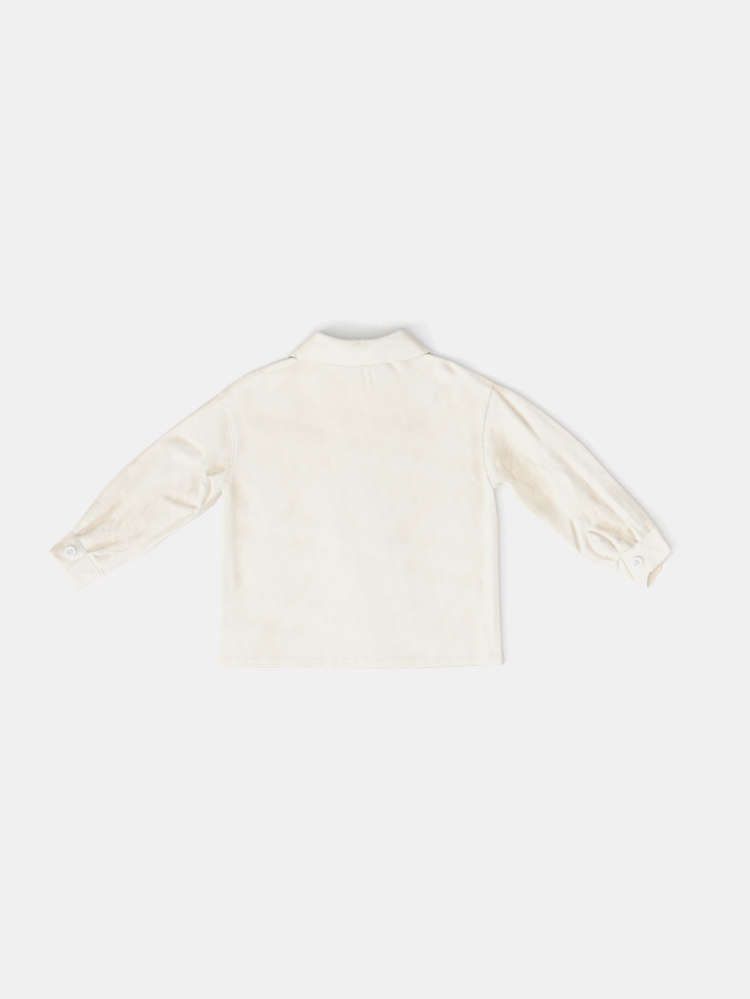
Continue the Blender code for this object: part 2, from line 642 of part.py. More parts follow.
def make_collar(cloth, collection):
    """The collar, one strip folded over along its length, all round the neck."""
    seams, folds, edges, rolls = collar_ring()
    spans = len(seams) - 1
    steps = COLLAR_STEPS * 2
    sections = []
    for step in range(steps + 1):
        place = spans * step / steps
        onward = through(folds, min(place + 0.5, spans)) - through(folds, max(place - 0.5, 0.0))
        sections.append(collar_section(through(seams, place), through(folds, place),
                                       through(edges, place), through(rolls, place), onward))
    columns = len(sections[0]) - 1
    first_fall = COLLAR_STAND_STEPS + COLLAR_ARC_STEPS

    def place_vertex(column, row):
        point = sections[row][column]
        if column > first_fall and point.z > COLLAR_TOP_SIDE:
            clear = upper_height(point.x, point.y) + WALL / 2 + EDGE_GAP
            return point.x, point.y, max(point.z, clear)
        return point

    grid = place_grid(columns, steps, place_vertex)

    def outside(centre):
        from_middle = Vector((centre.x, centre.y - COLLAR_CENTRE[0], centre.z - COLLAR_CENTRE[1]))
        return from_middle.normalized()

    piece = add_cloth("collar", grid, cloth, collection, outside)
    piece.modifiers["cloth wall"].offset = 0.0
    return piece


def make_button(name, centre, normal, turn, material, collection):
    """A four-hole button: a turned disc with a raised rim, drilled through."""
    radius, thick = BUTTON_DIAMETER / 2, BUTTON_THICKNESS
    disc = bmesh.new()
    line = [disc.verts.new((x * radius * MM, 0.0, z * thick * MM)) for x, z in BUTTON_PROFILE]
    for start, end in zip(line, line[1:]):
        disc.edges.new((start, end))
    bmesh.ops.spin(disc, geom=disc.verts[:] + disc.edges[:], cent=(0, 0, 0), axis=(0, 0, 1),
                   angle=math.tau, steps=BUTTON_SIDES, use_merge=True)
    bmesh.ops.remove_doubles(disc, verts=disc.verts, dist=0.00001)
    bmesh.ops.recalc_face_normals(disc, faces=disc.faces)
    mesh = bpy.data.meshes.new(name)
    disc.to_mesh(mesh)
    disc.free()
    button = add_object(name, mesh, material, collection)
    facing = Vector(normal).normalized().to_track_quat('Z', 'Y')
    button.matrix_world = (Matrix.Translation(Vector(centre) * MM) @ facing.to_matrix().to_4x4()
                           @ Matrix.Rotation(math.radians(turn), 4, 'Z'))
    return button


def drill_button(button, cutters):
    """Cuts the four thread holes with one cutter object."""
    drills = bmesh.new()
    half = BUTTON_HOLE_SPREAD / 2 * MM
    for x, y in ((half, half), (-half, half), (-half, -half), (half, -half)):
        bmesh.ops.create_cone(drills, cap_ends=True, segments=BUTTON_HOLE_SIDES,
                              radius1=BUTTON_HOLE_DIAMETER / 2 * MM,
                              radius2=BUTTON_HOLE_DIAMETER / 2 * MM, depth=BUTTON_THICKNESS * 3 * MM,
                              matrix=Matrix.Translation((x, y, BUTTON_THICKNESS / 2 * MM)))
    mesh = bpy.data.meshes.new(button.name + "_drill")
    drills.to_mesh(mesh)
    drills.free()
    cutter = bpy.data.objects.new(button.name + "_drill", mesh)
    cutters.objects.link(cutter)
    cutter.matrix_world = button.matrix_world.copy()
    cutter.hide_render = True
    cutter.display_type = 'WIRE'
    holes = button.modifiers.new("thread holes", 'BOOLEAN')
    holes.operation = 'DIFFERENCE'
    holes.object = cutter


def surface_seat(x, y, radius):
    """Height and upward normal of the upper layer under a button of the given radius."""
    ring = [(x + radius * math.cos(a), y + radius * math.sin(a)) for a in np.linspace(0, math.tau, 12)[:-1]]
    step = radius * 0.8
    slope_x = (upper_height(x + step, y) - upper_height(x - step, y)) / (2 * step)
    slope_y = (upper_height(x, y + step) - upper_height(x, y - step)) / (2 * step)
    base = max(upper_height(px, py) - slope_x * (px - x) - slope_y * (py - y) for px, py in ring + [(x, y)])
    return base, (-slope_x, -slope_y, 1.0)


def main():
    """Builds every piece of the shirt."""
    for item in list(bpy.data.objects):
        bpy.data.objects.remove(item, do_unlink=True)
    scene = bpy.context.scene
    shirt = bpy.data.collections.new(SHIRT_NAME)
    scene.collection.children.link(shirt)
    cutters = bpy.data.collections.new("cutters")
    scene.collection.children.link(cutters)

    ivory = (0.83, 0.80, 0.73)
    make_back(make_material("back_cloth", ivory, 0.9), shirt)
    make_front("left_front", LEFT_SIDE, LEFT_ARMHOLE, LEFT_SHOULDER, 0.0,
               make_material("left_front_cloth", ivory, 0.9), shirt)
    make_front("right_front", RIGHT_SIDE, RIGHT_ARMHOLE, RIGHT_SHOULDER, LAYER_STEP,
               make_material("right_front_cloth", ivory, 0.9), shirt)
    make_sleeve("left_sleeve", LEFT_ARMHOLE, LEFT_SLEEVE_TOP, LEFT_SLEEVE_UNDER, CUFFS[0].below_seam,
                make_material("left_sleeve_cloth", ivory, 0.9), shirt)
    make_sleeve("right_sleeve", RIGHT_ARMHOLE, RIGHT_SLEEVE_TOP, RIGHT_SLEEVE_UNDER, CUFFS[1].below_seam,
                make_material("right_sleeve_cloth", ivory, 0.9), shirt)
    make_collar(make_material("collar_cloth", ivory, 0.9), shirt)
    for cuff in CUFFS:
        make_cuff(cuff, make_material(cuff.name + "_cloth", ivory, 0.9), shirt)
        x, y = cuff.button
        base, normal = surface_seat(x, y, BUTTON_DIAMETER / 2)
        base += free_end_rise(cuff, Vector((x, y)))
        button = make_button(cuff.name + "_button", (x, y, base + CUFF_BUTTON_LIFT), normal, CUFF_BUTTON_TURN,
                             make_material(cuff.name + "_button_white", (0.93, 0.93, 0.92), 0.35), shirt)
        drill_button(button, cutters)
    for index, (x, y) in enumerate(button_places(), start=1):
        name = "front_button_" + str(index)
        button = make_button(name, (x, y, BUTTON_THICKNESS), (0.0, 0.0, -1.0), 0.0,
                             make_material(name + "_white", (0.93, 0.93, 0.92), 0.35), shirt)
        drill_button(button, cutters)


main()
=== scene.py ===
# %% [markdown]
# # A small child's button-up shirt, laid flat on its front
# This notebook dresses a measured model of the shirt: the model gives each piece its place and its
# size, and the cells below sew the cloth over it, piece by piece, with its folds, seams, stitches and
# buttons. Sizes in the tables are millimetres, seen from above: x runs to the right, y runs up to the
# collar and z is the height above the table.

# %% Load the measured model
import math
from collections import namedtuple

import bmesh
import bpy
import numpy as np
from mathutils import Matrix, Vector


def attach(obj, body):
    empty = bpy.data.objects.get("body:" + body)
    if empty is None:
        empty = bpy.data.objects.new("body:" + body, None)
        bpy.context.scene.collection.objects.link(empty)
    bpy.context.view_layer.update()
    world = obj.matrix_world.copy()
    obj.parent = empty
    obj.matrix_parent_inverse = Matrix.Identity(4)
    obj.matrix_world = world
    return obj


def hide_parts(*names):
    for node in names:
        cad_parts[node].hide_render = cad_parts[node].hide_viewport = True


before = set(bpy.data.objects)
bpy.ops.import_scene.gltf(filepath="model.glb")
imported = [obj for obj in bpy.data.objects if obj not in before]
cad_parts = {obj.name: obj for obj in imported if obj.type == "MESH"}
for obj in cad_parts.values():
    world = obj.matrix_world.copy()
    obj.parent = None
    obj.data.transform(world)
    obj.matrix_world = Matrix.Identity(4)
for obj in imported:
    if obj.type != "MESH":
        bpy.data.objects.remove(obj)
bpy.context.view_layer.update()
BODY = "root"
MM = 0.001
print("measured pieces:", ", ".join(sorted(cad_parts)))

# %% [markdown]
# ## The cut
# A shirt that lies flat is a plan drawing with a little height. The tables below are its outlines in
# plan: the side folds, the armholes, the shoulders, the neck and both edges of each sleeve. A few points
# are enough, because a smooth curve is drawn through them, and a tailor's curves are smooth too.

# %% Outlines in plan, each from its lower or inner end to its upper or outer end
SHELL = 0.7
SEAM_STEP = 1.0
OVERLAP = 25.0
NECK_HALF = 77.0
NECK_Y = 160.8
NECK_SLANT = 0.028
NECK_POINTS = [(-NECK_HALF, NECK_Y - NECK_SLANT * NECK_HALF), (NECK_HALF, NECK_Y + NECK_SLANT * NECK_HALF)]
LEFT_SIDE = [(-158.0, -188.0), (-157.0, -90.0), (-154.6, 9.5)]
RIGHT_SIDE = [(160.2, -184.5), (156.8, -112.0), (155.7, -50.0), (155.0, -22.0), (150.1, 11.5)]
LEFT_ARMHOLE = [(-154.6, 9.5), (-146.0, 34.0), (-143.0, 58.0), (-145.5, 80.0), (-157.9, 118.2)]
RIGHT_ARMHOLE = [(150.1, 11.5), (143.5, 27.0), (139.5, 47.0), (139.2, 78.0), (150.5, 131.5)]
LEFT_SHOULDER = [(-157.9, 118.2), (-145.6, 128.0), (-123.2, 142.0), (-100.8, 150.6), (-84.0, 156.0),
                 NECK_POINTS[0]]
RIGHT_SHOULDER = [(150.5, 131.5), (123.2, 145.0), (100.8, 155.4), (84.0, 160.6), NECK_POINTS[1]]
BACK_NECK = [NECK_POINTS[0], (-65.0, 156.9), (-50.0, 155.9), (-32.0, 155.3), (0.0, 155.6),
             (32.0, 156.9), (50.0, 158.7), (65.0, 160.8), NECK_POINTS[1]]
LEFT_SLEEVE_TOP = [(-157.9, 118.2), (-190.4, 94.6), (-224.0, 68.9), (-257.6, 40.9), (-280.0, 19.6),
                   (-297.0, -1.0), (-308.0, -16.5), (-322.3, -34.6)]
LEFT_SLEEVE_UNDER = [(-154.6, 9.5), (-167.0, -7.3), (-188.2, -24.1), (-217.3, -43.1), (-238.6, -60.0),
                     (-258.7, -70.0), (-285.7, -84.1)]
RIGHT_SLEEVE_TOP = [(150.5, 131.5), (179.2, 117.0), (212.8, 92.4), (246.4, 64.4), (280.0, 28.6),
                    (313.6, -7.3), (331.5, -29.7)]
RIGHT_SLEEVE_UNDER = [(150.1, 11.5), (156.0, 15.0), (163.5, 17.5), (169.5, 12.5), (176.0, 1.0),
                      (184.0, -9.0), (201.6, -25.2), (224.0, -43.1), (255.4, -70.0), (288.5, -85.8)]
HEM_Y = -188.0
BACK_HEM = [LEFT_SIDE[0], (-60.0, -188.6), (20.0, -189.0), (90.0, -187.6), RIGHT_SIDE[0]]
print("hem", round(RIGHT_SIDE[0][0] - LEFT_SIDE[0][0], 1), "mm wide, centre back",
      round(BACK_NECK[4][1] - HEM_Y, 1), "mm long to the neck seam")

# %% [markdown]
# ## The cuff bands
# A buttoned cuff lies flattened in three stretches: over, along the upper side from its free end to the
# upper fold, then below, from fold to fold, and then beneath the free end. A band is flat and firm, so
# that each stretch needs only two lines, one along the seam and one along the wrist.

# %% Cuff bands
Cuff = namedtuple("Cuff", "name over_seam over_wrist below_seam below_wrist beneath_seam beneath_wrist "
                          "raised fade button")
CUFFS = [
    Cuff("left_cuff",
         [(-304.2, -60.5), (-322.3, -34.6)], [(-327.7, -78.5), (-348.6, -58.1)],
         [(-322.3, -34.6), (-303.0, -57.5), (-285.7, -84.1)],
         [(-348.6, -58.1), (-331.0, -81.0), (-315.9, -102.1)],
         [(-285.7, -84.1), (-294.0, -71.5), (-310.5, -51.0)],
         [(-315.9, -102.1), (-322.0, -94.0), (-335.5, -70.5)],
         13.0, 12.0, (-323.0, -58.2)),
    Cuff("right_cuff",
         [(290.5, -61.0), (303.0, -54.5), (331.5, -29.7)],
         [(306.5, -88.5), (322.6, -82.3), (340.0, -67.4), (348.6, -56.6)],
         [(331.5, -29.7), (303.0, -54.5), (288.0, -63.5), (286.5, -75.0), (288.5, -85.8)],
         [(348.6, -56.6), (340.0, -69.6), (336.0, -80.0), (321.4, -100.2)],
         [(288.5, -85.8), (287.5, -74.5), (291.5, -64.5), (298.5, -58.8)],
         [(321.4, -100.2), (321.6, -88.0), (324.5, -79.5)],
         21.0, 12.0, (309.1, -70.0)),
]
print("cuffs:", ", ".join(cuff.name for cuff in CUFFS))

# %% [markdown]
# ## Curves and patches
# A Hermite curve runs through a few points with no wiggles. Four of them bound a patch: a Coons patch
# blends opposite edges, so a flat grid of squares becomes the panel between its real seams, and its rows
# of vertices follow the grain as a weaver's threads would.

# %% Helpers for curves
def smooth_step(value):
    """Eases from 0 to 1 as the value goes from 0 to 1."""
    held = np.clip(value, 0.0, 1.0)
    return held * held * (3.0 - 2.0 * held)


def lerp(start, end, share):
    """The value that lies the given share of the way from start to end."""
    return start + (end - start) * share


def smooth_curve(points):
    """A curve through plan points: it takes shares from 0 to 1 and gives the points there."""
    corners = np.array([tuple(point) for point in points], float)
    reach = np.concatenate(([0.0], np.cumsum(np.linalg.norm(np.diff(corners, axis=0), axis=1))))
    last = len(corners) - 1
    low = np.maximum(np.arange(last + 1) - 1, 0)
    high = np.minimum(np.arange(last + 1) + 1, last)
    slopes = (corners[high] - corners[low]) / (reach[high] - reach[low])[:, None]

    def at(share):
        travel = np.clip(np.atleast_1d(np.asarray(share, float)), 0.0, 1.0) * reach[-1]
        index = np.clip(np.searchsorted(reach, travel, side="left") - 1, 0, last - 1)
        span = (reach[index + 1] - reach[index])[:, None]
        f = (travel - reach[index])[:, None] / span
        arrive = 3 * f ** 2 - 2 * f ** 3
        leave_slope = slopes[index] * span * (f ** 3 - 2 * f ** 2 + f)
        arrive_slope = slopes[index + 1] * span * (f ** 3 - f ** 2)
        return corners[index] * (1 - arrive) + corners[index + 1] * arrive + leave_slope + arrive_slope

    at.length = reach[-1]
    return at


def joined(first, second):
    """Two curves end to end as one, each with its share of the whole by its length."""
    split = first.length / (first.length + second.length)

    def at(share):
        share = np.atleast_1d(np.asarray(share, float))
        early, late = first(share / split), second((share - split) / (1 - split))
        return np.where((share <= split)[:, None], early, late)

    at.length = first.length + second.length
    return at


def patch(bottom, top, left, right, u, v):
    """Plan points between four curves: u runs from left to right and v from bottom to top."""
    u2, v2 = u[:, None], v[:, None]
    across = left(v) * (1 - u2) + right(v) * u2
    along = bottom(u) * (1 - v2) + top(u) * v2
    corners = ((bottom(0.0) * (1 - u2) + bottom(1.0) * u2) * (1 - v2)
               + (top(0.0) * (1 - u2) + top(1.0) * u2) * v2)
    return across + along - corners


print("curve helpers ready")

# %% [markdown]
# ## Folded edges
# Where the cloth turns over at the sides, along the shoulders and along the sleeves, it rolls through
# a small half circle. The height near such an edge depends only on the distance to it, so the edges are
# kept as short straight lines, and that distance is measured to the nearest of them.

# %% Distance to the nearest folded edge
ROLL_WIDTH = 2.6
ROLL_STEPS = 6
ROLL_RISE = 1.5
FOLD_HEIGHT = 2.0
EDGE_SAMPLES = 30
CHUNK = 4000
EDGE_CURVES = [smooth_curve(points) for points in (
    LEFT_SIDE, RIGHT_SIDE, LEFT_SHOULDER, RIGHT_SHOULDER, LEFT_SLEEVE_TOP, LEFT_SLEEVE_UNDER,
    RIGHT_SLEEVE_TOP, RIGHT_SLEEVE_UNDER,
    [LEFT_SLEEVE_TOP[-1], CUFFS[0].below_wrist[0]], [LEFT_SLEEVE_UNDER[-1], CUFFS[0].below_wrist[-1]],
    [RIGHT_SLEEVE_TOP[-1], CUFFS[1].below_wrist[0]], [RIGHT_SLEEVE_UNDER[-1], CUFFS[1].below_wrist[-1]])]
EDGE_LINES = [curve(np.linspace(0, 1, EDGE_SAMPLES + 1)) for curve in EDGE_CURVES]
EDGE_STARTS = np.concatenate([line[:-1] for line in EDGE_LINES])
EDGE_ENDS = np.concatenate([line[1:] for line in EDGE_LINES])


def nearest_line(x, y, starts, ends):
    """For each plan point, the distance to the nearest short line, and its number plus the share along it."""
    along = ends - starts
    squared = (along ** 2).sum(axis=1)
    found, place = np.empty(len(x)), np.empty(len(x))
    for first in range(0, len(x), CHUNK):
        dx = x[first:first + CHUNK, None] - starts[None, :, 0]
        dy = y[first:first + CHUNK, None] - starts[None, :, 1]
        share = np.clip((dx * along[:, 0] + dy * along[:, 1]) / squared, 0.0, 1.0)
        gap = (dx - share * along[:, 0]) ** 2 + (dy - share * along[:, 1]) ** 2
        nearest = gap.argmin(axis=1)
        rows = np.arange(len(nearest))
        found[first:first + CHUNK] = np.sqrt(gap[rows, nearest])
        place[first:first + CHUNK] = nearest + share[rows, nearest]
    return found, place


def distance_to_edge(x, y):
    """The distance in plan from each point to the nearest folded edge."""
    return nearest_line(x, y, EDGE_STARTS, EDGE_ENDS)[0]


print("folded edges:", len(EDGE_CURVES), "as", len(EDGE_STARTS), "short lines")

# %% [markdown]
# ## Height of the cloth
# The lower layer lies on the table and humps only over what is beneath it: the collar's front half and
# the row of buttons. The upper layer rests on it, with broad mounds where air is trapped. Folds are
# troughs or ridges along a bent line, each with its own width on either side of the line, because a real
# crease is steep on the side that the cloth was pushed from. A row of the table is the fold's start, bend
# and end, its width on the left and on the right, its rise, how crisp it is, and the shares of its length
# over which it comes and goes. The numbers are uneven on purpose, as real folds are.

# %% Lifted edges and broad mounds
EdgeLift = namedtuple("EdgeLift", "x y reach rise")
EDGE_LIFTS = [
    EdgeLift(-86, 158, 42, 3.4),
    EdgeLift(80, 164, 50, 2.2),
    EdgeLift(158, -60, 130, 0.8),
    EdgeLift(240, 70, 110, 1.2),
    EdgeLift(335, -40, 70, 2.8),
]
Mound = namedtuple("Mound", "x y half_x half_y turn rise")
MOUNDS = [
    Mound(0, -40, 85, 330, 0, 3),
    Mound(0, 140, 120, 75, 0, 3),
    Mound(-215, 15, 110, 62, 40, 2.6),
    Mound(-290, -40, 60, 48, 45, 2.4),
    Mound(215, 30, 120, 66, -42, 3),
    Mound(300, -50, 70, 52, -45, 3.2),
    Mound(146, -60, 26, 190, 0, 2.2),
    Mound(115, 140, 60, 26, -25, 1.6),
    Mound(186, 34, 56, 26, -48, 2),
    Mound(-240, 8, 58, 26, 50, 1.6),
    Mound(-178, 60, 34, 30, 40, 1.2),
]
FLAT_HEIGHT = 4.2
print("lifted edges:", len(EDGE_LIFTS), "mounds:", len(MOUNDS))

# %% Folds of the left sleeve
Fold = namedtuple("Fold", "start bend end left right rise crisp fade_in fade_out")
LEFT_SLEEVE_FOLDS = [
    Fold((-318, -41), (-272, -16), (-231, 40), 6, 10, -2, 0.2, 0.06, 0.8),
    Fold((-318, -41), (-300, -29), (-268, -16), 6, 4, -1.4, 0.5, 0.06, 0.7),
    Fold((-290, -34), (-262, -14), (-246, 2), 3.5, 6, -0.9, 0.5, 0.3, 0.45),
    Fold((-278, -35), (-240, 12), (-206, 46), 18, 12, 1.8, 0.5, 0.35, 0.3),
    Fold((-305, -58), (-276, -50), (-250, -39), 7, 4, -2, 0.4, 0.05, 0.8),
    Fold((-303, -46), (-285, -38), (-262, -28), 5, 6, 1.1, 0.2, 0.15, 0.6),
    Fold((-219, 66), (-190, 72), (-172, 43), 6, 9, -1.3, 0.2, 0.45, 0.22),
    Fold((-212, 54), (-196, 54), (-182, 40), 6, 11, 1.1, 0.1, 0.35, 0.4),
    Fold((-226, 8), (-202, -4), (-179, -10), 9, 5, -1.5, 0.3, 0.4, 0.1),
    Fold((-177, 36), (-186, 16), (-184, 0), 8, 8, -0.8, 0, 0.4, 0.4),
    Fold((-174, 26), (-161, 30), (-148, 35), 9, 3, -2.2, 0.4, 0.25, 0.15),
    Fold((-170, 26), (-160, 13), (-181, -13), 2.6, 4.5, -1.1, 0.5, 0.1, 0.2),
    Fold((-176, 20), (-170, 8), (-184, -8), 4, 4, 1.2, 0.3, 0.2, 0.3),
    Fold((-153, 15), (-160, 2), (-181, -14), 3, 3, -1.4, 0.7, 0.2, 0.2),
    Fold((-181, -12), (-205, -26), (-252, -55), 3, 6, -1.1, 0.6, 0.1, 0.6),
    Fold((-196, -12), (-222, -30), (-262, -58), 5, 6, 0.8, 0.1, 0.3, 0.5),
    Fold((-299, -60), (-293, -64), (-286, -69), 2, 2.5, -0.6, 0.5, 0.2, 0.5),
    Fold((-297, -62), (-284, -64), (-268, -60), 2.5, 3.5, -0.8, 0.6, 0.1, 0.6),
    Fold((-310, -30), (-302, -14), (-286, 6), 5, 9, 0.9, 0.1, 0.15, 0.6),
    Fold((-248, 44), (-222, 62), (-196, 84), 10, 12, -0.7, 0.1, 0.4, 0.4),
    Fold((-152, 98), (-149, 76), (-148, 44), 6, 10, -0.4, 0.1, 0.4, 0.3),
]
print("left sleeve folds:", len(LEFT_SLEEVE_FOLDS))

# %% Folds of the right sleeve
RIGHT_SLEEVE_FOLDS = [
    Fold((147, 129), (181, 96), (210, 56), 4, 4.5, -2, 0.5, 0.06, 0.45),
    Fold((156, 131), (196, 96), (226, 58), 7, 10, 0.8, 0.1, 0.25, 0.4),
    Fold((152, 112), (194, 68), (256, -2), 10, 10, 0.9, 0, 0.25, 0.25),
    Fold((144, 88), (182, 32), (240, -34), 16, 20, -2.2, 0.1, 0.3, 0.25),
    Fold((208, 62), (240, 26), (293, -24), 10, 9, -1.1, 0.1, 0.25, 0.25),
    Fold((222, 62), (262, 22), (306, -26), 8, 9, 0.9, 0.1, 0.25, 0.25),
    Fold((262, 20), (292, -8), (317, -36), 16, 6, 1.9, 0.5, 0.35, 0.1),
    Fold((235, -20), (243, -38), (247, -65), 3.5, 3.5, -1.7, 0.6, 0.2, 0.3),
    Fold((240, -16), (247, -34), (250, -56), 4, 3.5, 0.9, 0.2, 0.3, 0.3),
    Fold((253, -32), (253, -68), (291, -66), 3, 4, -0.9, 0.4, 0.2, 0.2),
    Fold((262, -44), (268, -58), (284, -60), 10, 8, 1.8, 0, 0.3, 0.3),
    Fold((253, -35), (277, -36), (291, -63), 2.6, 3.4, -2, 0.8, 0.15, 0.3),
    Fold((257, -31), (279, -31), (294, -56), 3, 3.5, 0.7, 0.4, 0.2, 0.25),
    Fold((258, -28), (284, -29), (312, -56), 10, 8, -1.6, 0, 0.3, 0.12),
    Fold((299, -28), (305, -38), (310, -48), 2, 4.5, -2.3, 0.8, 0.3, 0.08),
    Fold((292, -18), (306, -32), (316, -45), 6, 4, 1.3, 0.3, 0.4, 0.1),
    Fold((316, -26), (322, -32), (327, -38), 3, 3, -0.9, 0.5, 0.5, 0.05),
    Fold((142, 66), (151, 44), (157, 26), 4, 6, -0.9, 0.3, 0.3, 0.3),
    Fold((172, 120), (216, 88), (262, 46), 9, 7, -0.6, 0.1, 0.4, 0.4),
]
print("right sleeve folds:", len(RIGHT_SLEEVE_FOLDS))

# %% Folds of the body
BODY_FOLDS = [
    Fold((-140, 34), (-137, -40), (-134, -176), 18, 8, -1.5, 0.1, 0.12, 0.6),
    Fold((-152, 5), (-152, -80), (-153, -170), 5, 6, 0.6, 0.1, 0.2, 0.3),
    Fold((-128, 20), (-118, -30), (-112, -90), 16, 14, -0.7, 0, 0.3, 0.5),
    Fold((138, 67), (137, -45), (138, -160), 5, 12, -0.9, 0.1, 0.25, 0.3),
    Fold((148, 0), (148, -80), (150, -174), 5, 6, 0.8, 0.1, 0.2, 0.2),
    Fold((3, 150), (5, 132), (12, 108), 1.8, 3.6, -0.6, 0.6, 0.04, 0.5),
    Fold((11, 150), (13, 132), (19, 110), 3, 2, -0.55, 0.6, 0.04, 0.5),
    Fold((28, 157), (36, 148), (47, 138), 5, 3.5, -1.1, 0.5, 0.2, 0.5),
    Fold((46, 160), (54, 152), (62, 146), 7, 7, -0.6, 0.1, 0.3, 0.5),
    Fold((92, 158), (99, 150), (111, 137), 4, 5, -2, 0.6, 0.12, 0.45),
    Fold((82, 152), (94, 143), (108, 128), 9, 8, 0.9, 0, 0.3, 0.5),
    Fold((100, 158), (114, 146), (130, 130), 6, 6, 1, 0.2, 0.2, 0.5),
    Fold((122, 146), (136, 136), (150, 124), 5, 5, -1.6, 0.4, 0.3, 0.2),
    Fold((106, 128), (114, 116), (118, 100), 9, 9, 0.7, 0, 0.3, 0.5),
    Fold((-108, -122), (-98, -146), (-92, -172), 18, 18, -0.3, 0, 0.4, 0.4),
    Fold((-36, 144), (-30, 134), (-18, 122), 12, 12, -0.3, 0, 0.3, 0.5),
    Fold((-70, 148), (-92, 134), (-120, 126), 8, 12, 0.6, 0, 0.2, 0.5),
    Fold((-118, 112), (-90, 108), (-60, 96), 10, 12, 0.3, 0, 0.4, 0.4),
    Fold((-132, 96), (-128, 66), (-134, 36), 9, 8, -0.6, 0, 0.4, 0.4),
    Fold((132, 94), (131, 60), (134, 14), 8, 8, -0.5, 0, 0.4, 0.4),
    Fold((-20, 60), (-30, -10), (-26, -90), 16, 16, 0.4, 0, 0.4, 0.4),
    Fold((58, 40), (66, -40), (60, -120), 16, 18, -0.15, 0, 0.4, 0.4),
]
print("body folds:", len(BODY_FOLDS))

# %% [markdown]
# ## Painted warm shade in the folds
# Light bounces about between the walls of a fold, and each bounce off ivory cloth takes away a little
# blue. A soft, shallow fold is therefore seen more by its warmer tone than by its slope. That shade is
# painted into the cloth's colour here. The strokes below say where it is painted, in the form of the
# folds' table: their rise is the strength of the painted shade, and a negative one takes some of it
# away. They tint the cloth and don't move it.

# %% Strokes of shade on the right sleeve
RIGHT_SLEEVE_SHADES = [
    Fold((146, 80), (164, 32), (238, -40), 16, 16, 0.44, 0, 0.3, 0.2),
    Fold((144, 54), (182, 41), (222, -6), 16, 20, 0.52, 0, 0.15, 0.3),
    Fold((190, 2), (212, -20), (244, -56), 8, 5, 0.3, 0, 0.3, 0.2),
    Fold((146, 130), (176, 98), (210, 54), 3, 3.5, 0.5, 0.3, 0.1, 0.4),
    Fold((146, 132), (154, 122), (168, 106), 6, 7, 0.45, 0.1, 0.3, 0.4),
    Fold((214, 56), (244, 20), (292, -28), 8, 9, 0.24, 0, 0.25, 0.2),
    Fold((256, -31), (284, -29), (318, -62), 12, 8, 0.5, 0, 0.2, 0.05),
    Fold((276, -12), (290, -20), (303, -40), 8, 8, 0.35, 0, 0.3, 0.15),
    Fold((212, 26), (248, -8), (292, -42), 20, 20, 0.14, 0, 0.2, 0.15),
    Fold((252, -37), (252, -64), (291, -69), 2.2, 2.6, 0.45, 0.1, 0.2, 0.2),
    Fold((254, -36), (277, -37), (291, -63), 1.6, 2, 0.65, 0.3, 0.08, 0.03),
    Fold((262, -46), (272, -56), (284, -58), 7, 7, -0.5, 0, 0.3, 0.3),
    Fold((300, -28), (305, -36), (309, -46), 1.8, 2.5, 0.6, 0.2, 0.2, 0.1),
    Fold((274, 24), (306, -4), (336, -42), 6, 6, 0.5, 0.1, 0.3, 0.1),
    Fold((234, -20), (243, -40), (247, -66), 3.5, 4.5, 0.4, 0.2, 0.1, 0.2),
    Fold((147, 88), (148, 66), (153, 34), 4, 5, 0.3, 0.1, 0.3, 0.3),
    Fold((149, 16), (156, 18), (164, 15), 3, 3, 0.9, 0.2, 0.15, 0.2),
    Fold((156, 100), (196, 52), (250, -16), 8, 8, -0.5, 0, 0.25, 0.25),
]
print("strokes on the right sleeve:", len(RIGHT_SLEEVE_SHADES))

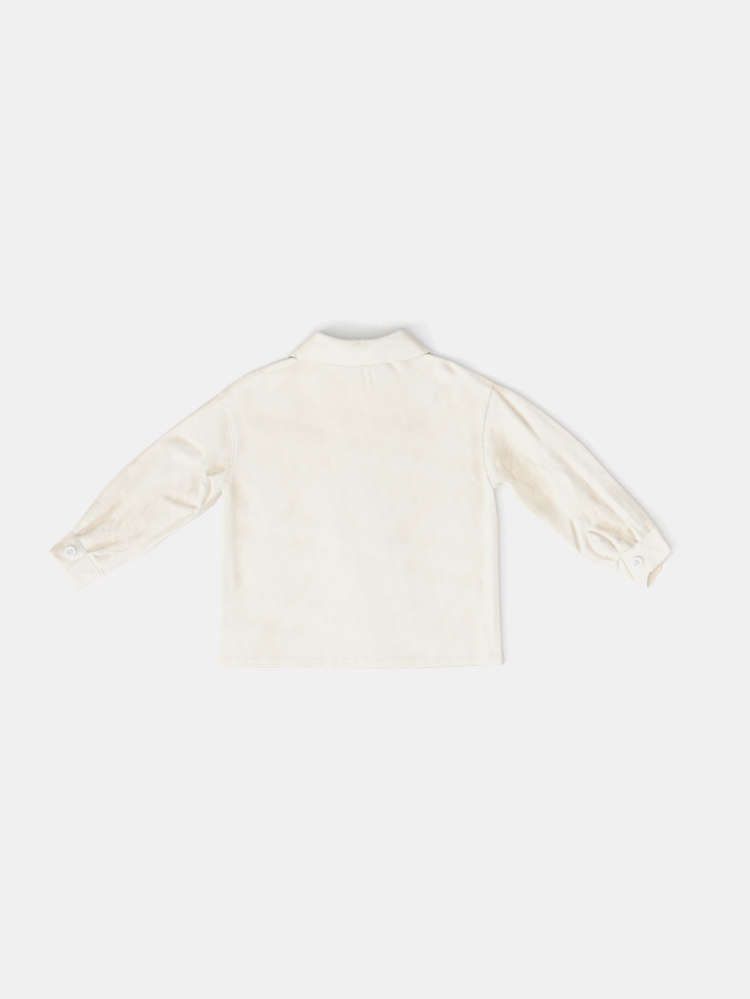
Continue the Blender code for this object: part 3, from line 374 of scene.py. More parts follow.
# %% Strokes of shade on the left sleeve
LEFT_SLEEVE_SHADES = [
    Fold((-222, 52), (-256, 24), (-300, -26), 15, 14, 0.26, 0, 0.25, 0.25),
    Fold((-219, 67), (-191, 72), (-173, 44), 5, 5, 0.25, 0.1, 0.35, 0.25),
    Fold((-317, -41), (-276, -18), (-231, 40), 7, 8, 0.3, 0.1, 0.06, 0.6),
    Fold((-317, -41), (-298, -29), (-264, -12), 5.5, 8.5, 0.55, 0.2, 0.06, 0.6),
    Fold((-276, -34), (-262, -20), (-246, 2), 3, 3.5, 0.35, 0.1, 0.3, 0.4),
    Fold((-304, -58), (-284, -51), (-250, -41), 7.5, 4.5, 0.7, 0.2, 0.05, 0.7),
    Fold((-300, -60), (-293, -65), (-284, -71), 2, 2, 0.3, 0.1, 0.2, 0.5),
    Fold((-190, -22), (-222, -40), (-252, -56), 2.5, 3, 0.3, 0.1, 0.2, 0.4),
    Fold((-226, 7), (-202, -4), (-180, -10), 4, 4.5, 0.35, 0.1, 0.3, 0.1),
    Fold((-176, 38), (-187, 18), (-183, -2), 9, 9, 0.3, 0, 0.4, 0.3),
    Fold((-173, 27), (-160, 31), (-147, 37), 11, 2.5, 0.75, 0, 0.15, 0.15),
    Fold((-180, 46), (-168, 42), (-154, 38), 11, 9, 0.35, 0, 0.4, 0.3),
    Fold((-170, 26), (-162, 14), (-180, -12), 2.2, 2.2, 0.6, 0.2, 0.15, 0.2),
    Fold((-155, 10), (-164, -4), (-192, -25), 3.5, 3.5, 0.6, 0.1, 0.15, 0.3),
    Fold((-168, 26), (-160, 18), (-162, 6), 4, 4, -0.6, 0, 0.2, 0.2),
    Fold((-157, 104), (-149, 76), (-150, 42), 7, 8, 0.2, 0, 0.3, 0.3),
    Fold((-94, 153), (-124, 141), (-158, 117), 5, 5, 0.5, 0.1, 0.2, 0.2),
    Fold((-142, 126), (-160, 113), (-186, 98), 7, 7, 0.42, 0, 0.15, 0.3),
    Fold((-156, 118), (-192, 93), (-224, 68), 2.5, 2.5, 0.5, 0.1, 0.2, 0.2),
    Fold((-286, 4), (-306, -16), (-320, -34), 5, 5, 0.4, 0, 0.2, 0.1),
    Fold((-303, -61), (-298, -69), (-292, -77), 5, 5, 0.35, 0, 0.2, 0.2),
    Fold((-226, 63), (-214, 66), (-203, 64), 4, 4, 0.25, 0.1, 0.2, 0.3),
    Fold((-165, 54), (-159, 48), (-154, 40), 8, 8, 0.2, 0, 0.2, 0.2),
    Fold((-280, -36), (-268, -29), (-256, -22), 8, 8, 0.15, 0, 0.2, 0.2),
]
print("strokes on the left sleeve:", len(LEFT_SLEEVE_SHADES))

# %% Strokes of shade along the edges and on the body
BODY_SHADES = [
    Fold((152, 34), (166, 29), (184, 20), 11, 8, 0.34, 0, 0.1, 0.3),
    Fold((168, 20), (184, 1), (208, -26), 8, 7, 0.36, 0, 0.15, 0.25),
    Fold((272, 16), (281, 2), (292, -12), 9, 9, 0.16, 0, 0.2, 0.2),
    Fold((-150, 54), (-142, 20), (-134, -24), 16, 12, 0.34, 0, 0.15, 0.4),
    Fold((-186, 16), (-240, -6), (-312, -54), 22, 22, 0.25, 0, 0.15, 0.1),
    Fold((-226, -34), (-262, -46), (-298, -68), 12, 10, 0.22, 0, 0.2, 0.1),
    Fold((-220, 71), (-268, 34), (-318, -30), 3, 3, 0.45, 0.1, 0.1, 0.1),
    Fold((152, 6), (155.5, -60), (158.5, -180), 1.6, 1.6, 0.25, 0.1, 0.05, 0.1),
    Fold((132, 141), (150, 130), (172, 114), 4, 5, 0.6, 0.1, 0.25, 0.25),
    Fold((92, 158), (99, 150), (111, 138), 3.5, 4, 0.3, 0.1, 0.12, 0.45),
    Fold((-150, 96), (0, 104), (150, 96), 50, 44, 0.12, 0, 0.1, 0.1),
    Fold((-150, 70), (0, 76), (150, 70), 90, 150, 0.1, 0, 0.1, 0.1),
    Fold((56, 132), (94, 104), (116, 50), 26, 26, -0.15, 0, 0.2, 0.3),
    Fold((-126, 120), (-92, 112), (-56, 102), 18, 18, -0.14, 0, 0.2, 0.3),
    Fold((-118, 142), (-80, 147), (-30, 143), 9, 8, 0.15, 0, 0.2, 0.2),
    Fold((132, 88), (131, 40), (134, -18), 8, 8, 0.22, 0, 0.25, 0.3),
    Fold((-34, 146), (-28, 136), (-16, 122), 12, 12, 0.16, 0, 0.3, 0.4),
    Fold((-110, -120), (-100, -146), (-96, -182), 20, 20, 0.12, 0, 0.3, 0.2),
    Fold((-140, 24), (-139, -30), (-137, -110), 9, 9, 0.3, 0, 0.15, 0.6),
]
SHADES = RIGHT_SLEEVE_SHADES + LEFT_SLEEVE_SHADES + BODY_SHADES
print("strokes of shade in all:", len(SHADES))

# %% Strokes of shade on the collar and cuffs
COLLAR_SHADES = [
    Fold((-48, 185), (-62, 175), (-78, 160), 3, 4, 0.5, 0.1, 0.1, 0.2),
    Fold((-50, 180), (-60, 170), (-74, 159), 8, 8, 0.32, 0, 0.15, 0.15),
    Fold((45, 188), (62, 178), (82, 163), 7, 7, 0.62, 0.1, 0.15, 0.15),
    Fold((-46, 181), (0, 167), (46, 184), 3, 4, 0.3, 0, 0.15, 0.15),
    Fold((-8, 178), (-1, 173), (5, 167), 1.8, 1.8, 0.45, 0.2, 0.2, 0.5),
    Fold((8, 177), (2, 173), (-2, 168), 1.8, 1.8, 0.3, 0.2, 0.2, 0.5),
]
CUFF_SHADES = [
    Fold((-309, -40), (-324, -54), (-344, -58), 11, 11, 0.42, 0, 0.1, 0.1),
    Fold((-344, -58), (-334, -66), (-318, -72), 4, 4, 0.45, 0.1, 0.2, 0.4),
    Fold((-316, -36), (-330, -46), (-346, -58), 5, 5, 0.5, 0.1, 0.1, 0.1),
    Fold((-328, -48), (-340, -55), (-350, -60), 8, 8, 0.3, 0, 0.2, 0.05),
    Fold((344, -50), (336, -40), (326, -30), 4, 4, 0.25, 0.1, 0.1, 0.1),
]
# A painted shadow: a narrow dark line on the end beneath, along the edge of the free end above it.
FREE_END_SHADE = Fold((286, -55), (297, -74.5), (308, -93), 1.8, 2.4, 0.9, 0.3, 0.02, 0.02)
print("strokes on the collar and cuffs:", len(COLLAR_SHADES) + len(CUFF_SHADES) + 1)

# %% [markdown]
# ## Small wrinkles and waves
# Where a sleeve is gathered into its cuff the cloth is full of small wrinkles, too many to place by
# hand. They are scattered round a few places, mostly along one direction, from a fixed seed.

# %% Small wrinkles
WRINKLE_TURN_SPREAD = 14.0
WRINKLE_BEND = 0.25
WRINKLE_CRISP = 0.3
WRINKLE_FADE = 0.4


def scatter_wrinkles(seed, count, centre, spread, turn, length, width, rise):
    """Small uneven wrinkles round a plan point, mostly along one direction, the same on every run."""
    chance = np.random.RandomState(seed)
    wrinkles = []
    for _ in range(count):
        x = centre[0] + chance.normal() * spread[0]
        y = centre[1] + chance.normal() * spread[1]
        angle = math.radians(turn + chance.normal() * WRINKLE_TURN_SPREAD)
        half = length * chance.uniform(0.35, 0.9) / 2
        dx, dy = math.cos(angle) * half, math.sin(angle) * half
        bend = chance.normal() * half * WRINKLE_BEND
        wide = width * chance.uniform(0.6, 1.3)
        height = rise * chance.uniform(0.4, 1.0) * chance.choice([-1.0, 1.0])
        wrinkles.append(Fold((x - dx, y - dy), (x - bend * math.sin(angle), y + bend * math.cos(angle)),
                             (x + dx, y + dy), wide, wide * chance.uniform(0.6, 1.4), height,
                             WRINKLE_CRISP, WRINKLE_FADE, WRINKLE_FADE))
    return wrinkles


SMALL_WRINKLES = (
    scatter_wrinkles(3, 34, (-278, -40), (20, 16), 42.0, 34.0, 2.6, 0.75)
    + scatter_wrinkles(5, 16, (-232, 4), (26, 22), 44.0, 44.0, 4.0, 0.6)
    + scatter_wrinkles(7, 14, (-174, 6), (9, 20), 60.0, 26.0, 2.6, 0.7)
    + scatter_wrinkles(11, 30, (276, -40), (20, 16), -48.0, 30.0, 2.6, 0.7)
    + scatter_wrinkles(13, 18, (228, 12), (30, 26), -44.0, 46.0, 4.2, 0.6)
    + scatter_wrinkles(17, 14, (166, 40), (10, 26), -62.0, 30.0, 3.0, 0.6)
    + scatter_wrinkles(19, 12, (0, 128), (70, 12), 88.0, 30.0, 4.0, 0.35)
    + scatter_wrinkles(23, 14, (0, -30), (90, 90), 80.0, 80.0, 10.0, 0.35)
    + scatter_wrinkles(29, 10, (-138, -60), (8, 70), 88.0, 60.0, 5.0, 0.4)
    + scatter_wrinkles(31, 10, (142, -60), (7, 70), 90.0, 60.0, 4.0, 0.4)
)
print("small wrinkles:", len(SMALL_WRINKLES))

# %% Waves all over, and the layers beneath
Ripple = namedtuple("Ripple", "length turn phase rise")
RIPPLES = [
    Ripple(67, 22, 0.3, 0.16),
    Ripple(43, 78, 1.9, 0.12),
    Ripple(29, -35, 4, 0.08),
    Ripple(17, 12, 2.2, 0.05),
    Ripple(11, -62, 5.1, 0.03),
]
CollarRest = namedtuple("CollarRest", "x y half_x half_y rise fade")
COLLAR_REST = CollarRest(0.0, 138.0, 104.0, 84.0, 2.4, 0.14)
LAYER_STEP = 1.8
PLACKET_FLAT = 15.0
PLACKET_REACH = 38.0
PLACKET_FADE = 30.0
BUTTON_THICKNESS = 2.0
LAYER_GAP = 0.3
UPPER_FLOOR = 1.9
ALL_FOLDS = LEFT_SLEEVE_FOLDS + RIGHT_SLEEVE_FOLDS + BODY_FOLDS + SMALL_WRINKLES
print("ripples:", len(RIPPLES), "folds and wrinkles in all:", len(ALL_FOLDS))

# %% [markdown]
# ## Form of a fold
# A crease that simply stops looks like a stroke of a pen. A real one narrows to its ends and fades, its
# foot spreads into the cloth beside it, and a low rim of pushed cloth stands along it.

# %% Height of one fold
FOLD_STEPS = 14
WANDER = 0.12
WANDER_PACE = 9.0
SHOULDER_REACH = 2.3
SHOULDER_SHARE = 0.3
RIM_PLACE = 1.35
RIM_HALF = 0.8
RIM_SHARE = 0.14
TAPER = 0.3
SHARPEST = 0.25
FAR = 1e9


def fold_rise(fold, x, y):
    """What one fold adds to the height at each plan point.

    Its width tapers to its ends, a wide shoulder softens it and a low rim stands beside it.
    """
    start, bend, end = (np.array(point, float) for point in (fold.start, fold.bend, fold.end))
    t = np.linspace(0, 1, FOLD_STEPS + 1)[:, None]
    line = start * (1 - t) ** 2 + bend * 2 * t * (1 - t) + end * t ** 2
    widest = max(fold.left, fold.right) * SHOULDER_REACH
    low, high = line.min(axis=0) - widest, line.max(axis=0) + widest
    near = np.flatnonzero((x > low[0]) & (x < high[0]) & (y > low[1]) & (y < high[1]))
    rise = np.zeros(len(x))
    if not len(near):
        return rise
    best = np.full(len(near), FAR)
    place = np.zeros(len(near))
    side = np.zeros(len(near))
    for step in range(FOLD_STEPS):
        along = line[step + 1] - line[step]
        dx, dy = x[near] - line[step, 0], y[near] - line[step, 1]
        share = np.clip((dx * along[0] + dy * along[1]) / (along @ along), 0.0, 1.0)
        gap = np.hypot(dx - share * along[0], dy - share * along[1])
        closer = gap < best
        best = np.where(closer, gap, best)
        place = np.where(closer, (step + share) / FOLD_STEPS, place)
        side = np.where(closer, along[0] * dy - along[1] * dx, side)
    ends = smooth_step(place / fold.fade_in) * smooth_step((1 - place) / fold.fade_out)
    wander = 1.0 + WANDER * np.sin(place * WANDER_PACE + fold.left)
    taper = np.sqrt(np.clip(np.minimum(place, 1 - place) / TAPER, 0.0, 1.0))
    width = np.where(side > 0, fold.left, fold.right) * lerp(SHARPEST, 1.0, taper) * wander
    reach = best / width
    core = np.clip(1 - reach, 0.0, 1.0)
    crease = lerp(np.clip(1 - reach ** 2, 0.0, 1.0) ** 2, core ** 2, fold.crisp)
    shoulder = np.clip(1 - (reach / SHOULDER_REACH) ** 2, 0.0, 1.0) ** 2
    rim = np.clip(1 - ((reach - RIM_PLACE) / RIM_HALF) ** 2, 0.0, 1.0) ** 2
    rise[near] = fold.rise * ends * (lerp(crease, shoulder, SHOULDER_SHARE) - RIM_SHARE * rim)
    return rise


def shade_total(shades, x, y):
    """How much painted shade the given strokes lay on the cloth at each plan point."""
    return sum(fold_rise(shade, x, y) for shade in shades)


fold_middle = fold_rise(BODY_FOLDS[0], np.array([-137.0]), np.array([-60.0]))
print("depth of the left side fold near its middle, mm:", round(float(-fold_middle[0]), 2))

# %% Height of mounds, waves and edges
RIPPLE_SWAY = 1.3
RIPPLE_SWAY_PACE = 0.37


def mound_rise(mound, x, y):
    """What one broad mound adds to the height at each plan point."""
    turn = math.radians(mound.turn)
    dx, dy = x - mound.x, y - mound.y
    along = (dx * math.cos(turn) + dy * math.sin(turn)) / mound.half_x
    across = (dy * math.cos(turn) - dx * math.sin(turn)) / mound.half_y
    return mound.rise * smooth_step(1.0 - np.hypot(along, across))


def ripple_rise(x, y):
    """Slight waves all over, as no cloth lies dead flat."""
    total = np.zeros(len(x))
    for ripple in RIPPLES:
        turn = math.radians(ripple.turn)
        wave = (x * math.cos(turn) + y * math.sin(turn)) * math.tau / ripple.length + ripple.phase
        total += ripple.rise * np.sin(wave + RIPPLE_SWAY * np.sin(wave * RIPPLE_SWAY_PACE + ripple.phase))
    return total


def edge_height(x, y):
    """The height of the fold line at a folded edge near each plan point."""
    height = np.full(len(x), FOLD_HEIGHT)
    for lift in EDGE_LIFTS:
        height += lift.rise * smooth_step(1.0 - np.hypot(x - lift.x, y - lift.y) / lift.reach)
    return height


def roll_share(distance):
    """0 on a folded edge, 1 past the width of its roll, along a quarter circle between."""
    inward = np.minimum(distance / ROLL_WIDTH, 1.0)
    return np.sqrt(1.0 - (1.0 - inward) ** 2)


edge_example = edge_height(np.array([-86.0, 0.0]), np.array([158.0, -188.0]))
print("fold line at the left shoulder and at the hem, mm:", np.round(edge_example, 2))

# %% Height of the lower layer
def lower_inside(x, y):
    """The height of the lower layer's outer face away from the folded edges."""
    rest = COLLAR_REST
    from_collar = np.hypot((x - rest.x) / rest.half_x, (y - rest.y) / rest.half_y)
    height = rest.rise * smooth_step((1.0 - from_collar) / rest.fade)
    across = smooth_step((PLACKET_REACH - np.abs(x)) / (PLACKET_REACH - PLACKET_FLAT))
    along = smooth_step((y - HEM_Y) / PLACKET_FADE)
    return np.maximum(height, (BUTTON_THICKNESS + LAYER_GAP) * across * along)


def lower_height(x, y):
    """The outer face of the lower layer: fronts, and lower side of the sleeves and cuffs."""
    return lerp(edge_height(x, y), lower_inside(x, y), roll_share(distance_to_edge(x, y)))


row_middle = lower_height(np.array([0.0, 60.0]), np.array([-60.0, -60.0]))
print("lower layer on the row of buttons and beside it, mm:", np.round(row_middle, 2))

# %% Height of the upper layer
def fold_total(x, y):
    """All the folds and ripples of the upper layer."""
    total = ripple_rise(x, y)
    for fold in ALL_FOLDS:
        total += fold_rise(fold, x, y)
    return total


def upper_height(x, y):
    """The outer face of the upper layer: back, and upper side of the sleeves and cuffs."""
    height = FLAT_HEIGHT + fold_total(x, y)
    for mound in MOUNDS:
        height += mound_rise(mound, x, y)
    overlapped = smooth_step((PLACKET_REACH - np.abs(x)) / (PLACKET_REACH - PLACKET_FLAT))
    layers = lower_inside(x, y) + LAYER_STEP * overlapped + 2 * SHELL + LAYER_GAP
    edge = edge_height(x, y)
    distance = distance_to_edge(x, y)
    near_edge = edge + ROLL_RISE * smooth_step(2.0 - distance / (2 * ROLL_WIDTH))
    inside = np.maximum(np.maximum(height, layers), np.maximum(near_edge, UPPER_FLOOR))
    return lerp(edge, inside, roll_share(distance))


middle = upper_height(np.array([0.0, -250.0, 250.0]), np.array([0.0, 20.0, 20.0]))
print("height at the middle and on both sleeves, mm:", np.round(middle, 2))

# %% [markdown]
# ## Two corrections to the height
# The roll at a folded edge must not count as a hollow, so its drop is worked out for itself. The free end
# of a cuff lies over the end beneath it, and the step between them fades out round the wrist.

# %% Rolls, and the free end of a cuff
ROLL_DONE = 0.999
ROLL_LEAST = 0.25
CUFF_WALL = 0.8
CUFF_LAYER_STEP = CUFF_WALL + 0.2


def edge_drop(x, y):
    """How far the roll at a folded edge lowers the upper layer below its height further in."""
    distance = distance_to_edge(x, y)
    inside = upper_height(x, y)
    edge = edge_height(x, y)
    share = roll_share(distance)
    return np.where(share < ROLL_DONE, (inside - edge) * (1 - 1 / np.maximum(share, ROLL_LEAST)), 0.0)


def cuff_free_rise(cuff, x, y):
    """How much higher the free end of a cuff lies, over the end beneath it."""
    start, end = np.array(cuff.over_seam[0]), np.array(cuff.over_wrist[0])
    along = (end - start) / np.linalg.norm(end - start)
    inside = np.abs((x - start[0]) * along[1] - (y - start[1]) * along[0])
    return CUFF_LAYER_STEP * smooth_step((cuff.raised + cuff.fade - inside) / cuff.fade)


print("a cuff's free end lies", CUFF_LAYER_STEP, "mm higher")

# %% [markdown]
# ## Cloth
# The real cloth is a crinkled plain weave in undyed ivory, with thicker, slubby threads here and there
# across the width. Each piece carries a UV map in metres along its own grain, so the same material
# weaves correctly on a panel, round a sleeve and along the collar. Two sets of bands are the threads,
# a stretched noise is the slubs and a fine noise is the crinkle. They tint the colour a little and
# drive the bump. Two attributes stored on the mesh vary it. One is the shade painted into the colour at
# a point, warmer and darker, from the depth of its fold and from the strokes. The other, crinkle, is how
# gathered the cloth is there, which raises fine ridges along the grain.

# %% Node helpers
def feed(tree, value, socket):
    """Links a socket to another one, or sets it to a plain value."""
    if isinstance(value, bpy.types.NodeSocket):
        tree.links.new(value, socket)
    else:
        socket.default_value = value


def set_inputs(tree, node, **inputs):
    """Feeds a node's inputs by name, where an underscore stands for a space."""
    for name, value in inputs.items():
        feed(tree, value, node.inputs[name.replace("_", " ")])
    return node


def add_node(tree, kind, settings=None, **inputs):
    """A new node with its settings and its inputs."""
    node = tree.nodes.new(kind)
    for name, value in (settings or {}).items():
        setattr(node, name, value)
    return set_inputs(tree, node, **inputs)


def maths(tree, operation, *values):
    """The result of one calculation on sockets and plain numbers."""
    node = add_node(tree, "ShaderNodeMath", {"operation": operation})
    for socket, value in zip(node.inputs, values):
        feed(tree, value, socket)
    return node.outputs["Value"]


def noise(tree, vector, kind='FBM', **inputs):
    """A noise over the given places."""
    return add_node(tree, "ShaderNodeTexNoise", {"noise_type": kind}, Vector=vector, **inputs).outputs["Fac"]


def scaled(tree, vector, scale):
    """Places, stretched by the given scale along each axis."""
    return add_node(tree, "ShaderNodeMapping", Vector=vector, Scale=scale).outputs["Vector"]


def painted(tree, name):
    """The value of an attribute that is stored on the mesh."""
    return add_node(tree, "ShaderNodeAttribute", {"attribute_name": name}).outputs["Fac"]


def mixed(tree, share, first, second):
    """The first colour, with the given share of the second."""
    settings = {"data_type": 'RGBA', "blend_type": 'MIX'}
    return add_node(tree, "ShaderNodeMix", settings, Factor=share, A=first, B=second).outputs["Result"]


def new_material(name, **inputs):
    """A material, its node tree, and its shader with the given inputs."""
    material = bpy.data.materials.new(name)
    material.use_nodes = True
    tree = material.node_tree
    return material, tree, set_inputs(tree, tree.nodes["Principled BSDF"], **inputs)


print("node helpers ready")

# %% Ivory cloth
SLUB_TINT = 2.3
IVORY = (0.891, 0.871, 0.812, 1.0)
# A lighter copy of the ivory for the interlined cuffs: painted light that lifts them, where they lie in more
# shade, to the tone of the body.
FIRM_LIT_IVORY = (0.915, 0.893, 0.840, 1.0)
# The collar's ivory is darker and a little cooler than the body's: the darkening is painted shade that tones
# down the light on its sloping fall.
COLLAR_SHADED_IVORY = (0.836, 0.828, 0.775, 1.0)
# Colour of the painted shade in folds and hollows: warmer and darker than the ivory.
WARM_PAINTED_SHADE = (0.795, 0.700, 0.585, 1.0)
LIGHT_SLUB = (0.965, 0.96, 0.93, 1.0)
# A warmer, darker copy of the ivory for the cloth's inner faces: painted shade where the inside shows.
INSIDE_SHADED_IVORY = (0.98, 0.88, 0.75, 1.0)
THREAD_SPACING = 0.55
BANDS_PER_UNIT = 0.314
WEAVE_SHARE = 0.22


def cloth_relief(tree, slub, gather):
    """The height of the cloth's surface for its bump, and where it has slubs."""
    grain = add_node(tree, "ShaderNodeUVMap", {"uv_map": "grain"}).outputs["UV"]
    in_mm = scaled(tree, grain, (1000.0, 1000.0, 1000.0))
    crinkle = noise(tree, in_mm, Scale=0.62, Detail=4.0, Roughness=0.65)
    slubs = noise(tree, scaled(tree, in_mm, (0.055, 0.95, 1.0)), Scale=1.0, Detail=3.0, Roughness=0.6)
    slub_share = add_node(tree, "ShaderNodeMapRange", Value=slubs, From_Min=0.58, From_Max=0.74)
    slub_share = slub_share.outputs["Result"]
    threads = []
    for direction in ("X", "Y"):
        bands = {"wave_type": 'BANDS', "bands_direction": direction}
        wave = add_node(tree, "ShaderNodeTexWave", bands, Vector=in_mm, Distortion=0.8, Detail=1.0,
                        Detail_Scale=1.5, Scale=BANDS_PER_UNIT / THREAD_SPACING)
        threads.append(wave.outputs["Fac"])
    raised = maths(tree, 'MULTIPLY_ADD', slub_share, slub, crinkle)
    woven = maths(tree, 'MULTIPLY_ADD', maths(tree, 'MAXIMUM', *threads), WEAVE_SHARE, raised)
    ridges = noise(tree, scaled(tree, in_mm, (0.15, 0.5, 1.0)), 'RIDGED_MULTIFRACTAL',
                   Scale=1.0, Detail=3.0, Roughness=0.55)
    gathered = maths(tree, 'MULTIPLY', ridges, painted(tree, "crinkle"))
    return maths(tree, 'MULTIPLY_ADD', gathered, gather, woven), slub_share


def cloth_material(name, slub, gather, ivory):
    """The ivory weave, with the strength of its slubs and of its crinkle, and its colour."""
    material, tree, shader = new_material(name, Roughness=0.92, Sheen_Weight=0.18, Sheen_Roughness=0.6,
                                          Specular_IOR_Level=0.2)
    surface, slub_share = cloth_relief(tree, slub, gather)
    bump = add_node(tree, "ShaderNodeBump", Strength=0.5, Distance=0.00035, Height=surface)
    # Painted shade: the ivory is mixed towards the warmer, darker shade colour where the mesh attribute says.
    with_painted_shade = mixed(tree, painted(tree, "painted_shade"), ivory, WARM_PAINTED_SHADE)
    colour = mixed(tree, maths(tree, 'MULTIPLY', slub_share, slub * SLUB_TINT), with_painted_shade, LIGHT_SLUB)
    set_inputs(tree, shader, Normal=bump.outputs["Normal"], Base_Color=colour)
    return material


CLOTH = cloth_material("ivory_cloth", slub=0.35, gather=6.5, ivory=IVORY)
# The cuffs' cloth, in its lighter ivory with painted light.
LIT_FIRM_CLOTH = cloth_material("ivory_interlined_cloth_lit", slub=0.25, gather=0.8, ivory=FIRM_LIT_IVORY)
# The collar's cloth, in its darker ivory with painted shade.
SHADED_COLLAR_CLOTH = cloth_material("ivory_collar_cloth_shaded", slub=0.06, gather=0.8, ivory=COLLAR_SHADED_IVORY)
INSIDE_SHADED_CLOTH = cloth_material("ivory_cloth_inside_shaded", slub=0.35, gather=0.8, ivory=INSIDE_SHADED_IVORY)
print("cloth materials:", CLOTH.name, LIT_FIRM_CLOTH.name, SHADED_COLLAR_CLOTH.name, INSIDE_SHADED_CLOTH.name)

# %% [markdown]
# ## Buttons and thread
# The buttons are white plastic with a clear, hard shine, which a coat over a smooth surface gives. Thread
# is dull. Nothing real has one flat colour, so each of these finishes has a faint mottle.

# %% Finishes of the buttons and threads
MOTTLE_DARK = 0.97


def plain_material(name, colour, roughness, coat=0.0):
    """A finish with a faint mottle, so that it isn't one flat colour."""
    material, tree, shader = new_material(name, Roughness=roughness, Coat_Weight=coat, Coat_Roughness=0.08)
    place = add_node(tree, "ShaderNodeTexCoord").outputs["Object"]
    mottle = noise(tree, place, Scale=900.0, Detail=3.0)
    dark = (*[part * MOTTLE_DARK for part in colour], 1.0)
    set_inputs(tree, shader, Base_Color=mixed(tree, mottle, dark, (*colour, 1.0)))
    return material


BUTTON_WHITE = plain_material("button_white", (0.93, 0.935, 0.93), roughness=0.22, coat=0.5)
THREAD = plain_material("ivory_thread", (0.86, 0.83, 0.76), roughness=0.8)
BUTTON_THREAD = plain_material("button_thread", (0.88, 0.89, 0.91), roughness=0.7)
# Painted shade: a dark brown thread for the armhole seams and the left cuff's seam, standing in for the shade
# in the seam's groove.
SHADED_SEAM_THREAD = plain_material("shaded_seam_thread", (0.54, 0.43, 0.32), roughness=0.8)
print("hard finishes:", BUTTON_WHITE.name, THREAD.name, BUTTON_THREAD.name, SHADED_SEAM_THREAD.name)

# %% [markdown]
# ## From a grid of squares to a sewn piece
# Every cloth piece starts as Blender's own flat grid. Its vertices are moved to the places that the
# outlines and heights give, then a Solidify modifier gives the cloth its thickness, inwards from the
# face that shows. The UV map is written before a sleeve's two edges are merged, so that the weave meets
# itself at the underarm as two cut edges do.

# %% Pieces and spacing
def add_piece(name, mesh, material):
    """Puts a finished mesh into the scene as a piece of the shirt."""
    mesh.materials.append(material)
    piece = bpy.data.objects.new(name, mesh)
    bpy.context.scene.collection.objects.link(piece)
    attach(piece, BODY)
    return piece


def spread(count, roll_start, roll_end):
    """Shares from 0 to 1, drawn together where an end has a roll of the given share."""
    arc = 1 - np.cos(np.pi / 2 * np.arange(ROLL_STEPS) / ROLL_STEPS)
    parts = [np.linspace(roll_start, 1.0 - roll_end, count + 1)]
    if roll_start:
        parts.insert(0, roll_start * arc)
    if roll_end:
        parts.append(1.0 - roll_end * arc[::-1])
    return np.concatenate(parts)


print("shares of four squares with a roll at the start:", np.round(spread(4, 0.05, 0.0), 3))

# %% [markdown]
# ## Crinkled places
# Cloth is most crinkled where it is gathered: at the cuffs, under the arms and below the collar. A row of
# the table is a place, how far its crinkle reaches and how strong it is there.

# %% Crinkle
CRINKLE_PLACES = [(-310.0, -50.0, 95.0, 0.9), (300.0, -52.0, 95.0, 0.9), (-168.0, 20.0, 50.0, 0.5),
                  (168.0, 40.0, 60.0, 0.35), (10.0, 140.0, 34.0, 0.3)]
CRINKLE_ALL_OVER = 0.14


def crinkle_share(x, y):
    """How crinkled the cloth is at plan points: most where it is gathered into a cuff."""
    share = np.full(len(x), CRINKLE_ALL_OVER)
    for centre_x, centre_y, reach, most in CRINKLE_PLACES:
        share += most * smooth_step(1 - np.hypot(x - centre_x, y - centre_y) / reach)
    return np.clip(share, 0.0, 1.0)


crinkle_example = crinkle_share(np.array([-310.0, 0.0]), np.array([-50.0, -60.0]))
print("crinkle at the left cuff and mid back:", np.round(crinkle_example, 2))

# %% From a grid to a cloth piece
MERGE_DISTANCE = 0.00002


